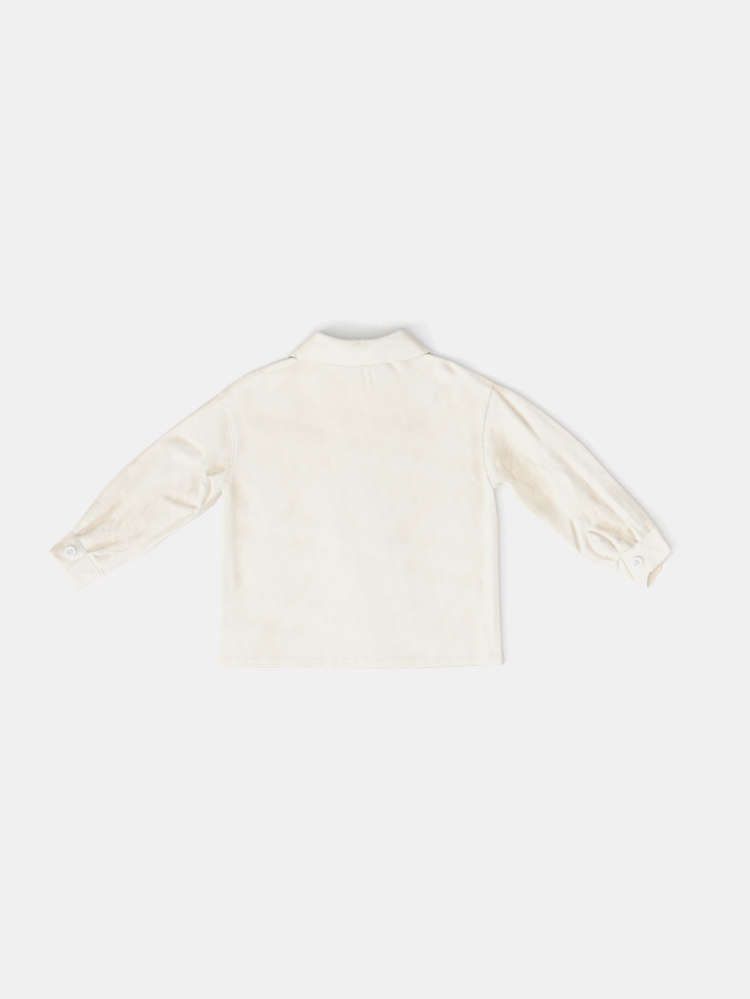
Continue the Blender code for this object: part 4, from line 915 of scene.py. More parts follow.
def sew_sheet(name, places, grain, painted_shade, facing, material, wall=SHELL, offset=-1.0):
    """A cloth piece from rows of places, of grain and of painted shade, with its outer side where facing
    says.
    """
    rows, columns = places.shape[:2]
    grid = bmesh.new()
    bmesh.ops.create_grid(grid, x_segments=columns - 1, y_segments=rows - 1, size=1.0)
    mesh = bpy.data.meshes.new(name)
    grid.to_mesh(mesh)
    flat = np.empty(len(mesh.vertices) * 3)
    mesh.vertices.foreach_get("co", flat)
    flat = flat.reshape(-1, 3)
    column = np.rint((flat[:, 0] + 1) / 2 * (columns - 1)).astype(int)
    row = np.rint((flat[:, 1] + 1) / 2 * (rows - 1)).astype(int)
    mesh.vertices.foreach_set("co", (places[row, column] * MM).ravel())
    corners = np.empty(len(mesh.loops), np.int32)
    mesh.loops.foreach_get("vertex_index", corners)
    layer = mesh.uv_layers.new(name="grain")
    layer.data.foreach_set("uv", (grain[row, column][corners] * MM).ravel())
    # The painted shade: how far the colour turns warmer and darker at each vertex.
    depth = mesh.attributes.new("painted_shade", 'FLOAT', 'POINT')
    depth.data.foreach_set("value", painted_shade[row, column])
    crinkle = mesh.attributes.new("crinkle", 'FLOAT', 'POINT')
    crinkle.data.foreach_set("value", crinkle_share(places[row, column, 0], places[row, column, 1]))
    grid.clear()
    grid.from_mesh(mesh)
    bmesh.ops.remove_doubles(grid, verts=grid.verts, dist=MERGE_DISTANCE)
    bmesh.ops.recalc_face_normals(grid, faces=grid.faces)
    grid.normal_update()
    outward = sum(face.normal.dot(facing(face.calc_center_median())) * face.calc_area()
                  for face in grid.faces)
    if outward < 0:
        bmesh.ops.reverse_faces(grid, faces=grid.faces)
    area = sum(face.calc_area() for face in grid.faces)
    grid.to_mesh(mesh)
    grid.free()
    mesh.shade_smooth()
    piece = add_piece(name + "_cloth", mesh, material)
    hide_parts(name)
    # The inner faces take the warmer, darker copy of the ivory, as painted shade.
    mesh.materials.append(INSIDE_SHADED_CLOTH)
    thickness = piece.modifiers.new("cloth thickness", 'SOLIDIFY')
    thickness.material_offset = 1
    thickness.thickness = wall * MM
    thickness.offset = offset
    thickness.use_even_offset = False
    thickness.use_quality_normals = True
    print(name, "sheet:", rows, "x", columns, "area", round(area, 5), "square metres")
    return piece


print("a cloth wall is", SHELL, "mm thick")

# %% [markdown]
# ## Hollows
# A hollow is a place that lies lower than the cloth round it. Its depth is measured against averages over
# three widths, so that both fine creases and broad folds count, and warm shade is painted into the
# cloth's colour there, deeper where the hollow is deeper.

# %% Depth of the hollows
HOLLOW_SCALES = [(3.0, 0.9, 0.25), (9.0, 1.8, 0.5), (22.0, 2.6, 0.6)]


def blurred(rows, reach):
    """A table of heights, averaged over neighbours within the given number of rows and columns."""
    steps = np.arange(-2 * reach, 2 * reach + 1)
    weights = np.exp(-0.5 * (steps / reach) ** 2)
    weights /= weights.sum()
    for axis in (0, 1):
        widths = [(2 * reach, 2 * reach) if axis == side else (0, 0) for side in (0, 1)]
        padded = np.pad(rows, widths, mode="edge")
        rows = np.apply_along_axis(np.convolve, axis, padded, weights, mode="valid")
    return rows


def hollow_map(heights, square):
    """How far each place lies below its surroundings, from 0 to 1, by its heights and grid spacing in mm."""
    painted_shade = np.zeros(heights.shape)
    for reach_mm, depth, share in HOLLOW_SCALES:
        reach = max(int(round(reach_mm / square)), 1)
        painted_shade += share * np.clip((blurred(heights, reach) - heights) / depth, 0.0, 1.0)
    return np.clip(painted_shade, 0.0, 1.0)


print("hollows are measured over", [scale[0] for scale in HOLLOW_SCALES], "mm")

# %% [markdown]
# ## Outside and inside
# A face has a front and a back, and the cloth's thickness grows away from its front. Each kind of piece
# therefore says which way its outer side looks.

# %% Which side of a piece is its outside
SHEET_MIDDLE = 2.4


def upwards(centre):
    """The outer side is above."""
    return Vector((0, 0, 1))


def downwards(centre):
    """The outer side is below."""
    return Vector((0, 0, -1))


def round_the_layer(centre):
    """The outer side is above on the upper half of a flattened tube, and below on the lower half."""
    return Vector((0, 0, 1 if centre.z > SHEET_MIDDLE * MM else -1))


print("the two halves of a tube part at", SHEET_MIDDLE, "mm")

# %% [markdown]
# ## Seams
# Along an armhole the cloth dips to its stitches and puckers a little between them. The dip here
# is a few tenths of a millimetre deep, and the sleeve runs on beneath the body panels, as a seam
# allowance does, so no light leaks through the join.

# %% Armhole seams
SEAM_DIP = 0.4
SEAM_DIP_WIDTH = 2.6
PUCKER_RISE = 0.16
PUCKER_LENGTH = 8.5
PUCKER_REACH = 9.0
ALLOWANCE_RISE = 0.3
ALLOWANCE_WIDTH = 9.0
ARMHOLES = {"left": smooth_curve(LEFT_ARMHOLE), "right": smooth_curve(RIGHT_ARMHOLE)}
ARMHOLE_SAMPLES = 80
ARMHOLE_NEAR_X = 110.0
PUCKER_SWAY = 1.6
PUCKER_SWAY_PACE = 0.21
ALLOWANCE_FADE = 2.0


def armhole_distance(hand, x, y):
    """The distance to an armhole seam and the length along it, for each plan point."""
    line = ARMHOLES[hand](np.linspace(0, 1, ARMHOLE_SAMPLES + 1))
    distance, place = nearest_line(x, y, line[:-1], line[1:])
    return distance, place / ARMHOLE_SAMPLES * ARMHOLES[hand].length


def armhole_relief(x, y, on_body):
    """The dip at the armhole seams, the puckers beside them and the allowance under the body's side."""
    total = np.zeros(len(x))
    for hand, sign in (("left", -1.0), ("right", 1.0)):
        near = np.flatnonzero(sign * x > ARMHOLE_NEAR_X)
        if not len(near):
            continue
        distance, travel = armhole_distance(hand, x[near], y[near])
        dip = SEAM_DIP * np.clip(1 - distance / SEAM_DIP_WIDTH, 0, 1) ** 2
        sway = PUCKER_SWAY * np.sin(travel * PUCKER_SWAY_PACE)
        wave = np.sin(travel * math.tau / PUCKER_LENGTH + sway)
        pucker = PUCKER_RISE * wave * smooth_step(1 - distance / PUCKER_REACH)
        total[near] += pucker - dip
        if on_body:
            total[near] += ALLOWANCE_RISE * smooth_step((ALLOWANCE_WIDTH - distance) / ALLOWANCE_FADE)
    return total


print("armhole seams:", [round(float(curve.length), 1) for curve in ARMHOLES.values()], "mm long")

# %% [markdown]
# ## Back panel
# The back is one piece with no yoke. Its hem is turned up 12 mm, so the sheet runs to the hem's fold,
# round a small half circle and back up inside as a second leaf.

# %% Hem and edges
EDGE_SET_BACK = 0.12
HEM_DEPTH = 12.0
HEM_TURN = 0.78
HEM_ROOM_AT_FOLD = 0.55
HEM_ARC_STEPS = 4
HEM_LEAF_STEPS = 5
HEM_STITCH_DIP = 0.05
HEM_STITCH_INSET = 1.2
HEM_START_X = -158.0
HEM_REACH = 318.0
HEM_DOUBLED_RISE = 0.22
HEM_DOUBLED_FADE = 3.0
HEM_STITCH_REACH = 1.8
HEM_WAVE_RISE = 0.1
HEM_WAVE_LENGTH = 13.0
HEM_WAVE_SWAY = 2.0
HEM_WAVE_SWAY_PACE = 0.045
HEM_WAVE_FADE = 8.0
BACK_SIZE = (316.0, 330.0)


def edge_set_back(distance):
    """How far a panel's edge keeps from the fold line, where front and back are sewn together."""
    return EDGE_SET_BACK * np.clip(1.0 - distance / ROLL_WIDTH, 0.0, 1.0)


def hem_relief(x, y, hem):
    """The doubled cloth above the hem's edge and the slight dip at its stitches."""
    above = y - hem(np.clip((x - HEM_START_X) / HEM_REACH, 0.0, 1.0))[:, 1]
    doubled = HEM_DOUBLED_RISE * smooth_step((HEM_DEPTH - above) / HEM_DOUBLED_FADE)
    from_stitches = np.abs(above - HEM_DEPTH + HEM_STITCH_INSET)
    dip = HEM_STITCH_DIP * np.clip(1 - from_stitches / HEM_STITCH_REACH, 0, 1)
    sway = HEM_WAVE_SWAY * np.sin(x * HEM_WAVE_SWAY_PACE)
    wave = HEM_WAVE_RISE * np.sin(x * math.tau / HEM_WAVE_LENGTH + sway)
    return doubled - dip + wave * smooth_step((HEM_DEPTH + HEM_WAVE_FADE - above) / HEM_WAVE_FADE)


def turned_hem(plan, heights, leaf_side):
    """Rows for a hem's inner leaf and its fold, from rows that run up from the hem's edge.

    leaf_side is -1 where the inner leaf lies beneath, and 1 where it lies above.
    """
    edge, edge_z = plan[0], heights[0]
    room = lerp(HEM_ROOM_AT_FOLD, 1.0, roll_share(distance_to_edge(edge[:, 0], edge[:, 1])))
    rows = []
    for step in range(HEM_LEAF_STEPS):
        up = lerp(HEM_DEPTH, HEM_TURN, step / HEM_LEAF_STEPS)
        shift = up / BACK_SIZE[1] * (plan[-1] - plan[0])
        leaf = edge_z + leaf_side * 2 * HEM_TURN * room
        rows.append(np.column_stack((edge + shift, leaf)))
    for step in range(HEM_ARC_STEPS):
        angle = math.pi * step / HEM_ARC_STEPS
        sink = leaf_side * HEM_TURN * room * (1 + math.cos(angle))
        out = HEM_TURN * (1 - math.sin(angle))
        shift = out / BACK_SIZE[1] * (plan[-1] - plan[0])
        rows.append(np.column_stack((edge + shift, edge_z + sink)))
    return np.stack(rows)


print("hem turned up", HEM_DEPTH, "mm")

# %% A panel with its hem
def hemmed(plan, heights, shape, leaf_side):
    """Places and grain of a panel with its turned hem, and the number of rows that the hem has."""
    plan, heights = plan.reshape(*shape, 2), heights.reshape(shape)
    hem = turned_hem(plan, heights, leaf_side)
    places = np.concatenate((hem, np.dstack((plan, heights))))
    grain = places[:, :, :2].copy()
    turned = len(hem)
    grain[:turned, :, 1] = 2 * plan[0, :, 1][None, :] - grain[:turned, :, 1]
    return places, grain, turned


print("rows in a turned hem:", HEM_LEAF_STEPS + HEM_ARC_STEPS)

# %% Back panel
BACK_SQUARES = (172, 184)
BACK_HOLLOW_SHADE = 0.75


def make_back():
    """The back panel, with its turned hem."""
    left = joined(smooth_curve(LEFT_SIDE), ARMHOLES["left"])
    right = joined(smooth_curve(RIGHT_SIDE), ARMHOLES["right"])
    bottom = smooth_curve(BACK_HEM)
    top = joined(joined(smooth_curve(LEFT_SHOULDER), smooth_curve(BACK_NECK)),
                 smooth_curve(RIGHT_SHOULDER[::-1]))
    across = spread(BACK_SQUARES[0], ROLL_WIDTH / BACK_SIZE[0], ROLL_WIDTH / BACK_SIZE[0])
    up = spread(BACK_SQUARES[1], 0.0, ROLL_WIDTH / BACK_SIZE[1])
    u, v = (values.ravel() for values in np.meshgrid(across, up))
    plan = patch(bottom, top, left, right, u, v)
    x, y = plan[:, 0], plan[:, 1]
    heights = upper_height(x, y) + edge_set_back(distance_to_edge(x, y))
    heights += (armhole_relief(x, y, True) + hem_relief(x, y, bottom)) * roll_share(distance_to_edge(x, y))
    shape = (len(up), len(across))
    places, grain, turned = hemmed(plan, heights, shape, -1.0)
    # Painted shade on the back: from the depth of its hollows and from the strokes.
    painted_shade = np.zeros(places.shape[:2])
    inside = (upper_height(x, y) - edge_drop(x, y)).reshape(shape)
    painted_shade[turned:] = BACK_HOLLOW_SHADE * hollow_map(inside, BACK_SIZE[0] / BACK_SQUARES[0])
    painted_shade[turned:] += shade_total(SHADES, x, y).reshape(shape)
    return sew_sheet("back_panel", places, grain, np.clip(painted_shade, 0.0, 1.0), upwards, CLOTH)


back = make_back()

# %% [markdown]
# ## Fronts
# The fronts lie face down on the table. The wearer's left front is the lower of the two at the buttons,
# since it buttons over the right one, and the right one is lifted over it where they overlap.

# %% Fronts
FRONT_SIZE = (170.0, 300.0)
FRONT_SQUARES = (70, 110)
FRONT_NECK_DEPTH = 59.0
FRONT_NECK_STEPS = 6
FRONT_LAYER_STEP = SHELL + 0.35
OVERLAP_EASE_REACH = 18.0
OVERLAP_EASE = 16.0
FRONT_EDGE_DROP = 0.5


def neck_quarter(hand, front_edge_x):
    """The front neckline from its lowest point at the front edge up to a neck point."""
    points = [(front_edge_x, NECK_Y - FRONT_NECK_DEPTH), (0.0, NECK_Y - FRONT_NECK_DEPTH)]
    for step in range(1, FRONT_NECK_STEPS + 1):
        angle = math.pi / 2 * (1 - step / FRONT_NECK_STEPS)
        x = hand * NECK_HALF * math.cos(angle)
        points.append((x, NECK_Y + NECK_SLANT * x - FRONT_NECK_DEPTH * math.sin(angle)))
    return points


def make_front(name, hand, side, armhole, shoulder, raise_overlap):
    """One front, from its side seam to its buttoned edge."""
    front_edge_x = -hand * OVERLAP / 2
    neckline = neck_quarter(hand, front_edge_x)
    outer = joined(smooth_curve(side), armhole)
    hem_y = side[0][1]
    corner = (front_edge_x, hem_y - FRONT_EDGE_DROP)
    bottom = smooth_curve([side[0], corner])
    top = joined(smooth_curve(shoulder), smooth_curve(neckline[::-1]))
    inner = smooth_curve([corner, neckline[0]])
    across = spread(FRONT_SQUARES[0], ROLL_WIDTH / FRONT_SIZE[0], 0.0)
    up = spread(FRONT_SQUARES[1], 0.0, ROLL_WIDTH / FRONT_SIZE[1])
    u, v = (values.ravel() for values in np.meshgrid(across, up))
    plan = patch(bottom, top, outer, inner, u, v)
    x, y = plan[:, 0], plan[:, 1]
    distance = distance_to_edge(x, y)
    heights = lower_height(x, y) - edge_set_back(distance)
    from_edge = (x - front_edge_x) * hand
    heights += raise_overlap * smooth_step((OVERLAP + OVERLAP_EASE_REACH - from_edge) / OVERLAP_EASE)
    heights = np.maximum(heights, 0.0)
    places, grain, _ = hemmed(plan, heights, (len(up), len(across)), 1.0)
    return sew_sheet(name, places, grain, np.zeros(places.shape[:2]), downwards, CLOTH)


left_front = make_front("left_front", -1.0, LEFT_SIDE, ARMHOLES["left"], LEFT_SHOULDER, 0.0)
right_front = make_front("right_front", 1.0, RIGHT_SIDE, ARMHOLES["right"], RIGHT_SHOULDER, FRONT_LAYER_STEP)

# %% [markdown]
# ## Sleeves
# Each sleeve is a flattened tube: a ring of vertices at every step from the armhole to the cuff. Its
# first ring is tucked under the body and its last ring under the cuff.

# %% Ends of a sleeve
SLEEVE_WIDTH = 90.0
SLEEVE_SQUARES = (68, 146)
TUCK_IN = 1.6
CUFF_TUCK_IN = 5.0
CUFF_GATHER = 0.08
TUCK_DROP = 0.95
TUCK_SHRINK = 0.012
GATHER_START = 0.925
GATHER_REACH = 0.045
GATHER_END = 0.985
GATHER_FADE = 0.015
CUFF_LEVEL_START = 0.90
CUFF_LEVEL_REACH = 0.07


def ring_lengths(places):
    """The length of cloth round each ring of places, measured from its first point."""
    steps = np.linalg.norm(np.diff(places, axis=1), axis=2)
    return np.concatenate((np.zeros((len(places), 1)), np.cumsum(steps, axis=1)), axis=1)


def tucked_ends(places, on_top, cuff):
    """The first and last ring of a sleeve, tucked under the body and under the cuff."""
    first, last = places[0].copy(), places[-1].copy()
    first_run, last_run = places[0] - places[2], places[-1] - places[-3]
    for tucked, run, tuck in ((first, first_run, TUCK_IN), (last, last_run, CUFF_TUCK_IN)):
        reach = np.linalg.norm(run[:, :2], axis=1)[:, None]
        tucked[:, :2] += run[:, :2] / reach * tuck
        middle = tucked.mean(axis=0)
        tucked[:, :2] += (middle[:2] - tucked[:, :2]) * TUCK_SHRINK
        x, y = tucked[:, 0], tucked[:, 1]
        under = upper_height(x, y) + cuff_free_rise(cuff, x, y) * (tuck == CUFF_TUCK_IN)
        tucked[:, 2] = np.where(on_top, under, lower_height(x, y))
        inwards = np.where(on_top, -TUCK_DROP, TUCK_DROP)
        tucked[:, 2] += inwards * roll_share(distance_to_edge(x, y))
    return first, last


print("tucked in by", TUCK_IN, "mm under the body and", CUFF_TUCK_IN, "mm under the cuff")

# %% Sleeves
def make_sleeve(name, hand, top, under, cuff):
    """A sleeve as a flattened tube from under the armhole seam to under the cuff."""
    start = ARMHOLES[hand]
    end = smooth_curve(cuff.below_seam[::-1])
    lower_edge = smooth_curve(under)
    upper_edge = smooth_curve(top)
    across = spread(SLEEVE_SQUARES[0], ROLL_WIDTH / SLEEVE_WIDTH, ROLL_WIDTH / SLEEVE_WIDTH)
    ring = np.concatenate((across, across[-2::-1]))
    on_top = np.arange(len(ring)) < len(across)
    along = np.linspace(0.0, 1.0, SLEEVE_SQUARES[1] + 1)
    v, u = (values.ravel() for values in np.meshgrid(ring, along))
    plan = patch(lower_edge, upper_edge, start, end, u, v)
    x, y = plan[:, 0], plan[:, 1]
    top_side = np.tile(on_top, len(along))
    distance = distance_to_edge(x, y)
    gathered = smooth_step((u - GATHER_START) / GATHER_REACH)
    gathered *= 1 - smooth_step((u - GATHER_END) / GATHER_FADE)
    level = cuff_free_rise(cuff, x, y) * smooth_step((u - CUFF_LEVEL_START) / CUFF_LEVEL_REACH)
    raised = armhole_relief(x, y, False) + CUFF_GATHER * gathered + level
    above = upper_height(x, y) + raised * roll_share(distance)
    heights = np.where(top_side, above, lower_height(x, y))
    shape = (len(along), len(ring))
    inside = (upper_height(x, y) - edge_drop(x, y)).reshape(shape)
    shades = shade_total(SHADES, x, y).reshape(shape)
    places = np.column_stack((plan, heights)).reshape(*shape, 3)
    first, last = tucked_ends(places, on_top, cuff)
    places = np.concatenate((first[None], places, last[None]))
    travelled = ring_lengths(places)
    fold_column = len(across) - 1
    length = np.linalg.norm(places[-1].mean(axis=0) - places[0].mean(axis=0))
    grain = np.dstack((travelled - travelled[:, fold_column:fold_column + 1],
                       np.repeat(np.linspace(0, length, len(places))[:, None], len(ring), axis=1)))
    # Painted shade on the upper side: from the depth of its hollows and from the strokes.
    painted_shade = np.zeros(places.shape[:2])
    count = len(across)
    painted_shade[1:-1, :count] = hollow_map(inside[:, :count], SLEEVE_WIDTH / SLEEVE_SQUARES[0])
    painted_shade[1:-1, :count] += shades[:, :count]
    return sew_sheet(name, places, grain, np.clip(painted_shade, 0.0, 1.0), round_the_layer, CLOTH)


left_sleeve = make_sleeve("left_sleeve", "left", LEFT_SLEEVE_TOP, LEFT_SLEEVE_UNDER, CUFFS[0])
right_sleeve = make_sleeve("right_sleeve", "right", RIGHT_SLEEVE_TOP, RIGHT_SLEEVE_UNDER, CUFFS[1])

# %% [markdown]
# ## Cuffs
# A cuff is one firm, interlined band. It starts at its free end, which carries the button on top, runs
# over the upper side, round the wrist and back beneath that end. Its mouth stands up a little at the
# buttoned ends, since the button pulls them together.

# %% Form of the cuffs
CUFF_ROWS = 30
CUFF_RAISE = 0.3
CUFF_TILT = {"left_cuff": 4.1, "right_cuff": 0.6}
CUFF_LAP = 0.9
CUFF_SEAM_DROP = 0.2
CUFF_SEAM_ROWS = 3
CUFF_STRETCHES = [("over", 34, 0, 1), ("below", 52, 1, 1), ("beneath", 34, 1, 0)]
CUFF_TILT_REACH = 36.0
CUFF_TILT_FADE = 22.0
CUFF_CREASES = {
    "left_cuff": [
        Fold((-318, -46), (-326, -52), (-336, -54), 3, 3.5, -0.9, 0.4, 0.3, 0.3),
        Fold((-309, -62), (-317, -68), (-328, -72), 3, 3, -0.7, 0.4, 0.3, 0.4),
        Fold((-330, -66), (-334, -62), (-342, -61), 2.5, 3, -0.7, 0.5, 0.3, 0.3),
        Fold((-312, -54), (-318, -58), (-322, -66), 4, 3, 0.5, 0.2, 0.3, 0.3),
    ],
    "right_cuff": [
        Fold((298, -62), (306, -60), (316, -54), 3, 3, -0.6, 0.4, 0.3, 0.4),
        Fold((312, -78), (320, -72), (330, -66), 3, 3.5, -0.5, 0.3, 0.3, 0.4),
        Fold((318, -58), (326, -56), (336, -58), 4, 4, 0.5, 0.1, 0.3, 0.3),
    ],
}


def cuff_tilt(cuff, x, y):
    """How much a cuff's mouth stands up towards the wrist, near its buttoned ends."""
    start, end = np.array(cuff.over_seam[0]), np.array(cuff.over_wrist[0])
    reach = np.linalg.norm(end - start)
    along = (end - start) / reach
    across = np.clip(((x - start[0]) * along[0] + (y - start[1]) * along[1]) / reach, 0.0, 1.0)
    inside = np.abs((x - start[0]) * along[1] - (y - start[1]) * along[0])
    return CUFF_TILT[cuff.name] * across * smooth_step((CUFF_TILT_REACH - inside) / CUFF_TILT_FADE)


def cuff_top(cuff, x, y):
    """The outer face of a cuff's free end and upper side."""
    rise = cuff_free_rise(cuff, x, y) + cuff_tilt(cuff, x, y)
    for crease in CUFF_CREASES[cuff.name]:
        rise = rise + fold_rise(crease, x, y)
    return upper_height(x, y) + (rise + CUFF_RAISE) * roll_share(distance_to_edge(x, y))


print("creases on the cuffs:", sum(len(creases) for creases in CUFF_CREASES.values()))

# %% Cuffs
def make_cuff(cuff):
    """A cuff band in its three stretches."""
    columns = []
    across = np.linspace(0.0, 1.0, CUFF_ROWS + 1)
    for name, count, roll_start, roll_end in CUFF_STRETCHES:
        seam = smooth_curve(getattr(cuff, name + "_seam"))
        wrist = smooth_curve(getattr(cuff, name + "_wrist"))
        roll = ROLL_WIDTH / seam.length
        shares = spread(count, roll * roll_start, roll * roll_end)
        if columns:
            shares = shares[1:]
        starts, ends = seam(shares), wrist(shares)
        reach = np.linalg.norm(ends - starts, axis=1)[:, None]
        starts = starts - (ends - starts) / reach * CUFF_LAP
        plan = lerp(starts[None], ends[None], across[:, None, None])
        x, y = plan[:, :, 0].ravel(), plan[:, :, 1].ravel()
        at_seam = np.clip(1 - across * CUFF_ROWS / CUFF_SEAM_ROWS, 0, 1)
        down = CUFF_SEAM_DROP * np.repeat(at_seam ** 2, len(shares))
        if name == "over":
            heights = cuff_top(cuff, x, y) - down
        elif name == "below":
            heights = lower_height(x, y)
        else:
            lift = CUFF_RAISE + cuff_tilt(cuff, x, y) - down
            heights = upper_height(x, y) + lift * roll_share(distance_to_edge(x, y))
        columns.append(np.dstack((plan, heights.reshape(plan.shape[:2]))))
    places = np.concatenate(columns, axis=1)
    travelled = ring_lengths(places)
    rows = np.linalg.norm(places[-1] - places[0], axis=1)[None, :] * across[:, None]
    grain = np.dstack((travelled, rows))
    # Painted shade on the free end from its strokes, and a painted shadow on the end beneath.
    painted_shade = np.zeros(places.shape[:2])
    over = columns[0].shape[1]
    shaded = shade_total(CUFF_SHADES, places[:, :over, 0].ravel(), places[:, :over, 1].ravel())
    painted_shade[:, :over] = np.clip(shaded, 0.0, 1.0).reshape(painted_shade[:, :over].shape)
    beneath = over + columns[1].shape[1]
    free_end_shadow = fold_rise(FREE_END_SHADE, places[:, beneath:, 0].ravel(), places[:, beneath:, 1].ravel())
    painted_shade[:, beneath:] = np.clip(free_end_shadow, 0.0, 1.0).reshape(painted_shade[:, beneath:].shape)
    return sew_sheet(cuff.name, places, grain, painted_shade, round_the_layer, LIT_FIRM_CLOTH, CUFF_WALL)


cuffs = [make_cuff(cuff) for cuff in CUFFS]

# %% [markdown]
# ## Collar
# The collar is a strip folded along its length: a stand that rises from the neck seam, a soft roll at
# the top, and a fall that comes back down on the outside. Sections are set at stations round the neck
# and a smooth curve runs through them.

# %% Stations and creases of the collar
CollarStation = namedtuple("CollarStation", "seam_x seam_y fold_x fold_y fold_z edge_x edge_y side roll")
COLLAR_STATIONS = [
    CollarStation(0, 157.4, 0, 175.6, 15.2, 0, 149.6, "above", 1.9),
    CollarStation(14, 157.4, 11.5, 175.8, 15.2, 18, 149.9, "above", 1.9),
    CollarStation(28, 157.7, 22, 177, 15.2, 34, 151.6, "above", 1.9),
    CollarStation(42, 158.6, 33, 180.2, 15, 49, 154, "above", 1.9),
    CollarStation(54, 159.8, 42, 184, 13.8, 62, 156.8, "above", 1.9),
    CollarStation(64, 161.8, 47.5, 185.66, 12, 72.5, 160.4, "above", 1.9),
    CollarStation(71.5, 163, 53.5, 181.8, 5.6, 79.6, 162.8, "beside", 1.5),
    CollarStation(71.5, 155, 52, 168.5, 2.5, 82, 158, "under", 1.25),
    CollarStation(72.5, 149.5, 53.5, 160, 2.2, 82, 148, "below", 1.2),
    CollarStation(69.5, 139.5, 52, 147, 1.8, 77, 125, "below", 1.2),
    CollarStation(55.5, 123.2, 42, 134, 1.8, 64, 102, "below", 1.2),
    CollarStation(35, 110.4, 26, 122.5, 1.8, 46, 86, "below", 1.2),
    CollarStation(14, 104.4, 9, 117.5, 1.8, 27, 74, "below", 1.2),
]
COLLAR_WALL = 1.0
COLLAR_ROWS = 260
COLLAR_STAND_STEPS = 12
COLLAR_ARC_STEPS = 12
COLLAR_FALL_STEPS = 30
CREASE_SHADE_DEPTH = 3.0
COLLAR_CROWN = 1.2
COLLAR_CROWN_START = 4.0
COLLAR_CROWN_REACH = 8.0
COLLAR_EDGE_GAP = 0.35
COLLAR_EDGE_LIFT = 0.13
COLLAR_CENTRE = (0.14, 0.006)
COLLAR_TOP_SIDE = 6.0
COLLAR_STITCH_INSET = 6.5
COLLAR_FOLDS = [
    Fold((-10, 170), (-3, 174), (5, 177), 2.5, 4, -1, 0.6, 0.3, 0.3),
    Fold((4, 168), (9, 172), (14, 175), 3, 3, -0.8, 0.5, 0.3, 0.3),
    Fold((-77, 163), (-72, 160), (-64, 157), 2, 3, -0.9, 0.6, 0.2, 0.4),
    Fold((-50, 176), (-40, 172), (-24, 171), 4, 5, -0.5, 0.2, 0.3, 0.4),
    Fold((22, 172), (34, 171), (48, 174), 4, 5, -0.5, 0.2, 0.4, 0.3),
]
print("collar stations on each side:", len(COLLAR_STATIONS), "creases:", len(COLLAR_FOLDS))

# %% Lines of the collar
def at_station(values, place):
    """Values at places along evenly numbered stations, on a smooth curve through them."""
    index = np.minimum(place.astype(int), len(values) - 2)
    f = (place - index)[:, None]
    before = values[np.maximum(index - 1, 0)]
    after = values[np.minimum(index + 2, len(values) - 1)]
    near, far = values[index], values[index + 1]
    return (near * (2 * f ** 3 - 3 * f ** 2 + 1) + (far - before) * 0.5 * (f ** 3 - 2 * f ** 2 + f)
            + far * (3 * f ** 2 - 2 * f ** 3) + (after - near) * 0.5 * (f ** 3 - f ** 2))


def height_at(function, x, y):
    """One height from a function that takes arrays."""
    return float(function(np.array([x]), np.array([y]))[0])


def collar_heights(row):
    """Heights of a station's seam and free edge, at the middle of the wall."""
    half = COLLAR_WALL / 2
    if row.side == "above":
        return (height_at(upper_height, row.seam_x, row.seam_y - SEAM_STEP) - half,
                height_at(upper_height, row.edge_x, row.edge_y) + half + COLLAR_EDGE_GAP)
    if row.side == "beside":
        middle_height = height_at(edge_height, row.seam_x, row.seam_y)
        return middle_height - half, middle_height
    if row.side == "under":
        return LAYER_STEP + half, 2 * half
    return COLLAR_REST.rise + half, half + COLLAR_EDGE_LIFT


def collar_lines():
    """Seam, fold and edge points of the collar, and its rolls, from the left front end to the right one."""
    seams, folds, edges, rolls = [], [], [], []
    for hand, rows in ((-1, COLLAR_STATIONS[:0:-1]), (1, COLLAR_STATIONS)):
        for row in rows:
            seam_z, edge_z = collar_heights(row)
            slant = hand * NECK_SLANT
            seams.append((hand * row.seam_x, row.seam_y + slant * row.seam_x, seam_z))
            folds.append((hand * row.fold_x, row.fold_y + slant * row.fold_x, row.fold_z))
            edges.append((hand * row.edge_x, row.edge_y + slant * row.edge_x, edge_z))
            rolls.append((row.roll,))
    return (np.array(values, float) for values in (seams, folds, edges, rolls))


print("heights of the seam and the free edge at the centre back, mm:",
      np.round(collar_heights(COLLAR_STATIONS[0]), 2))

# %% Collar
def unit(vectors):
    """Each vector at length one."""
    return vectors / np.linalg.norm(vectors, axis=1)[:, None]


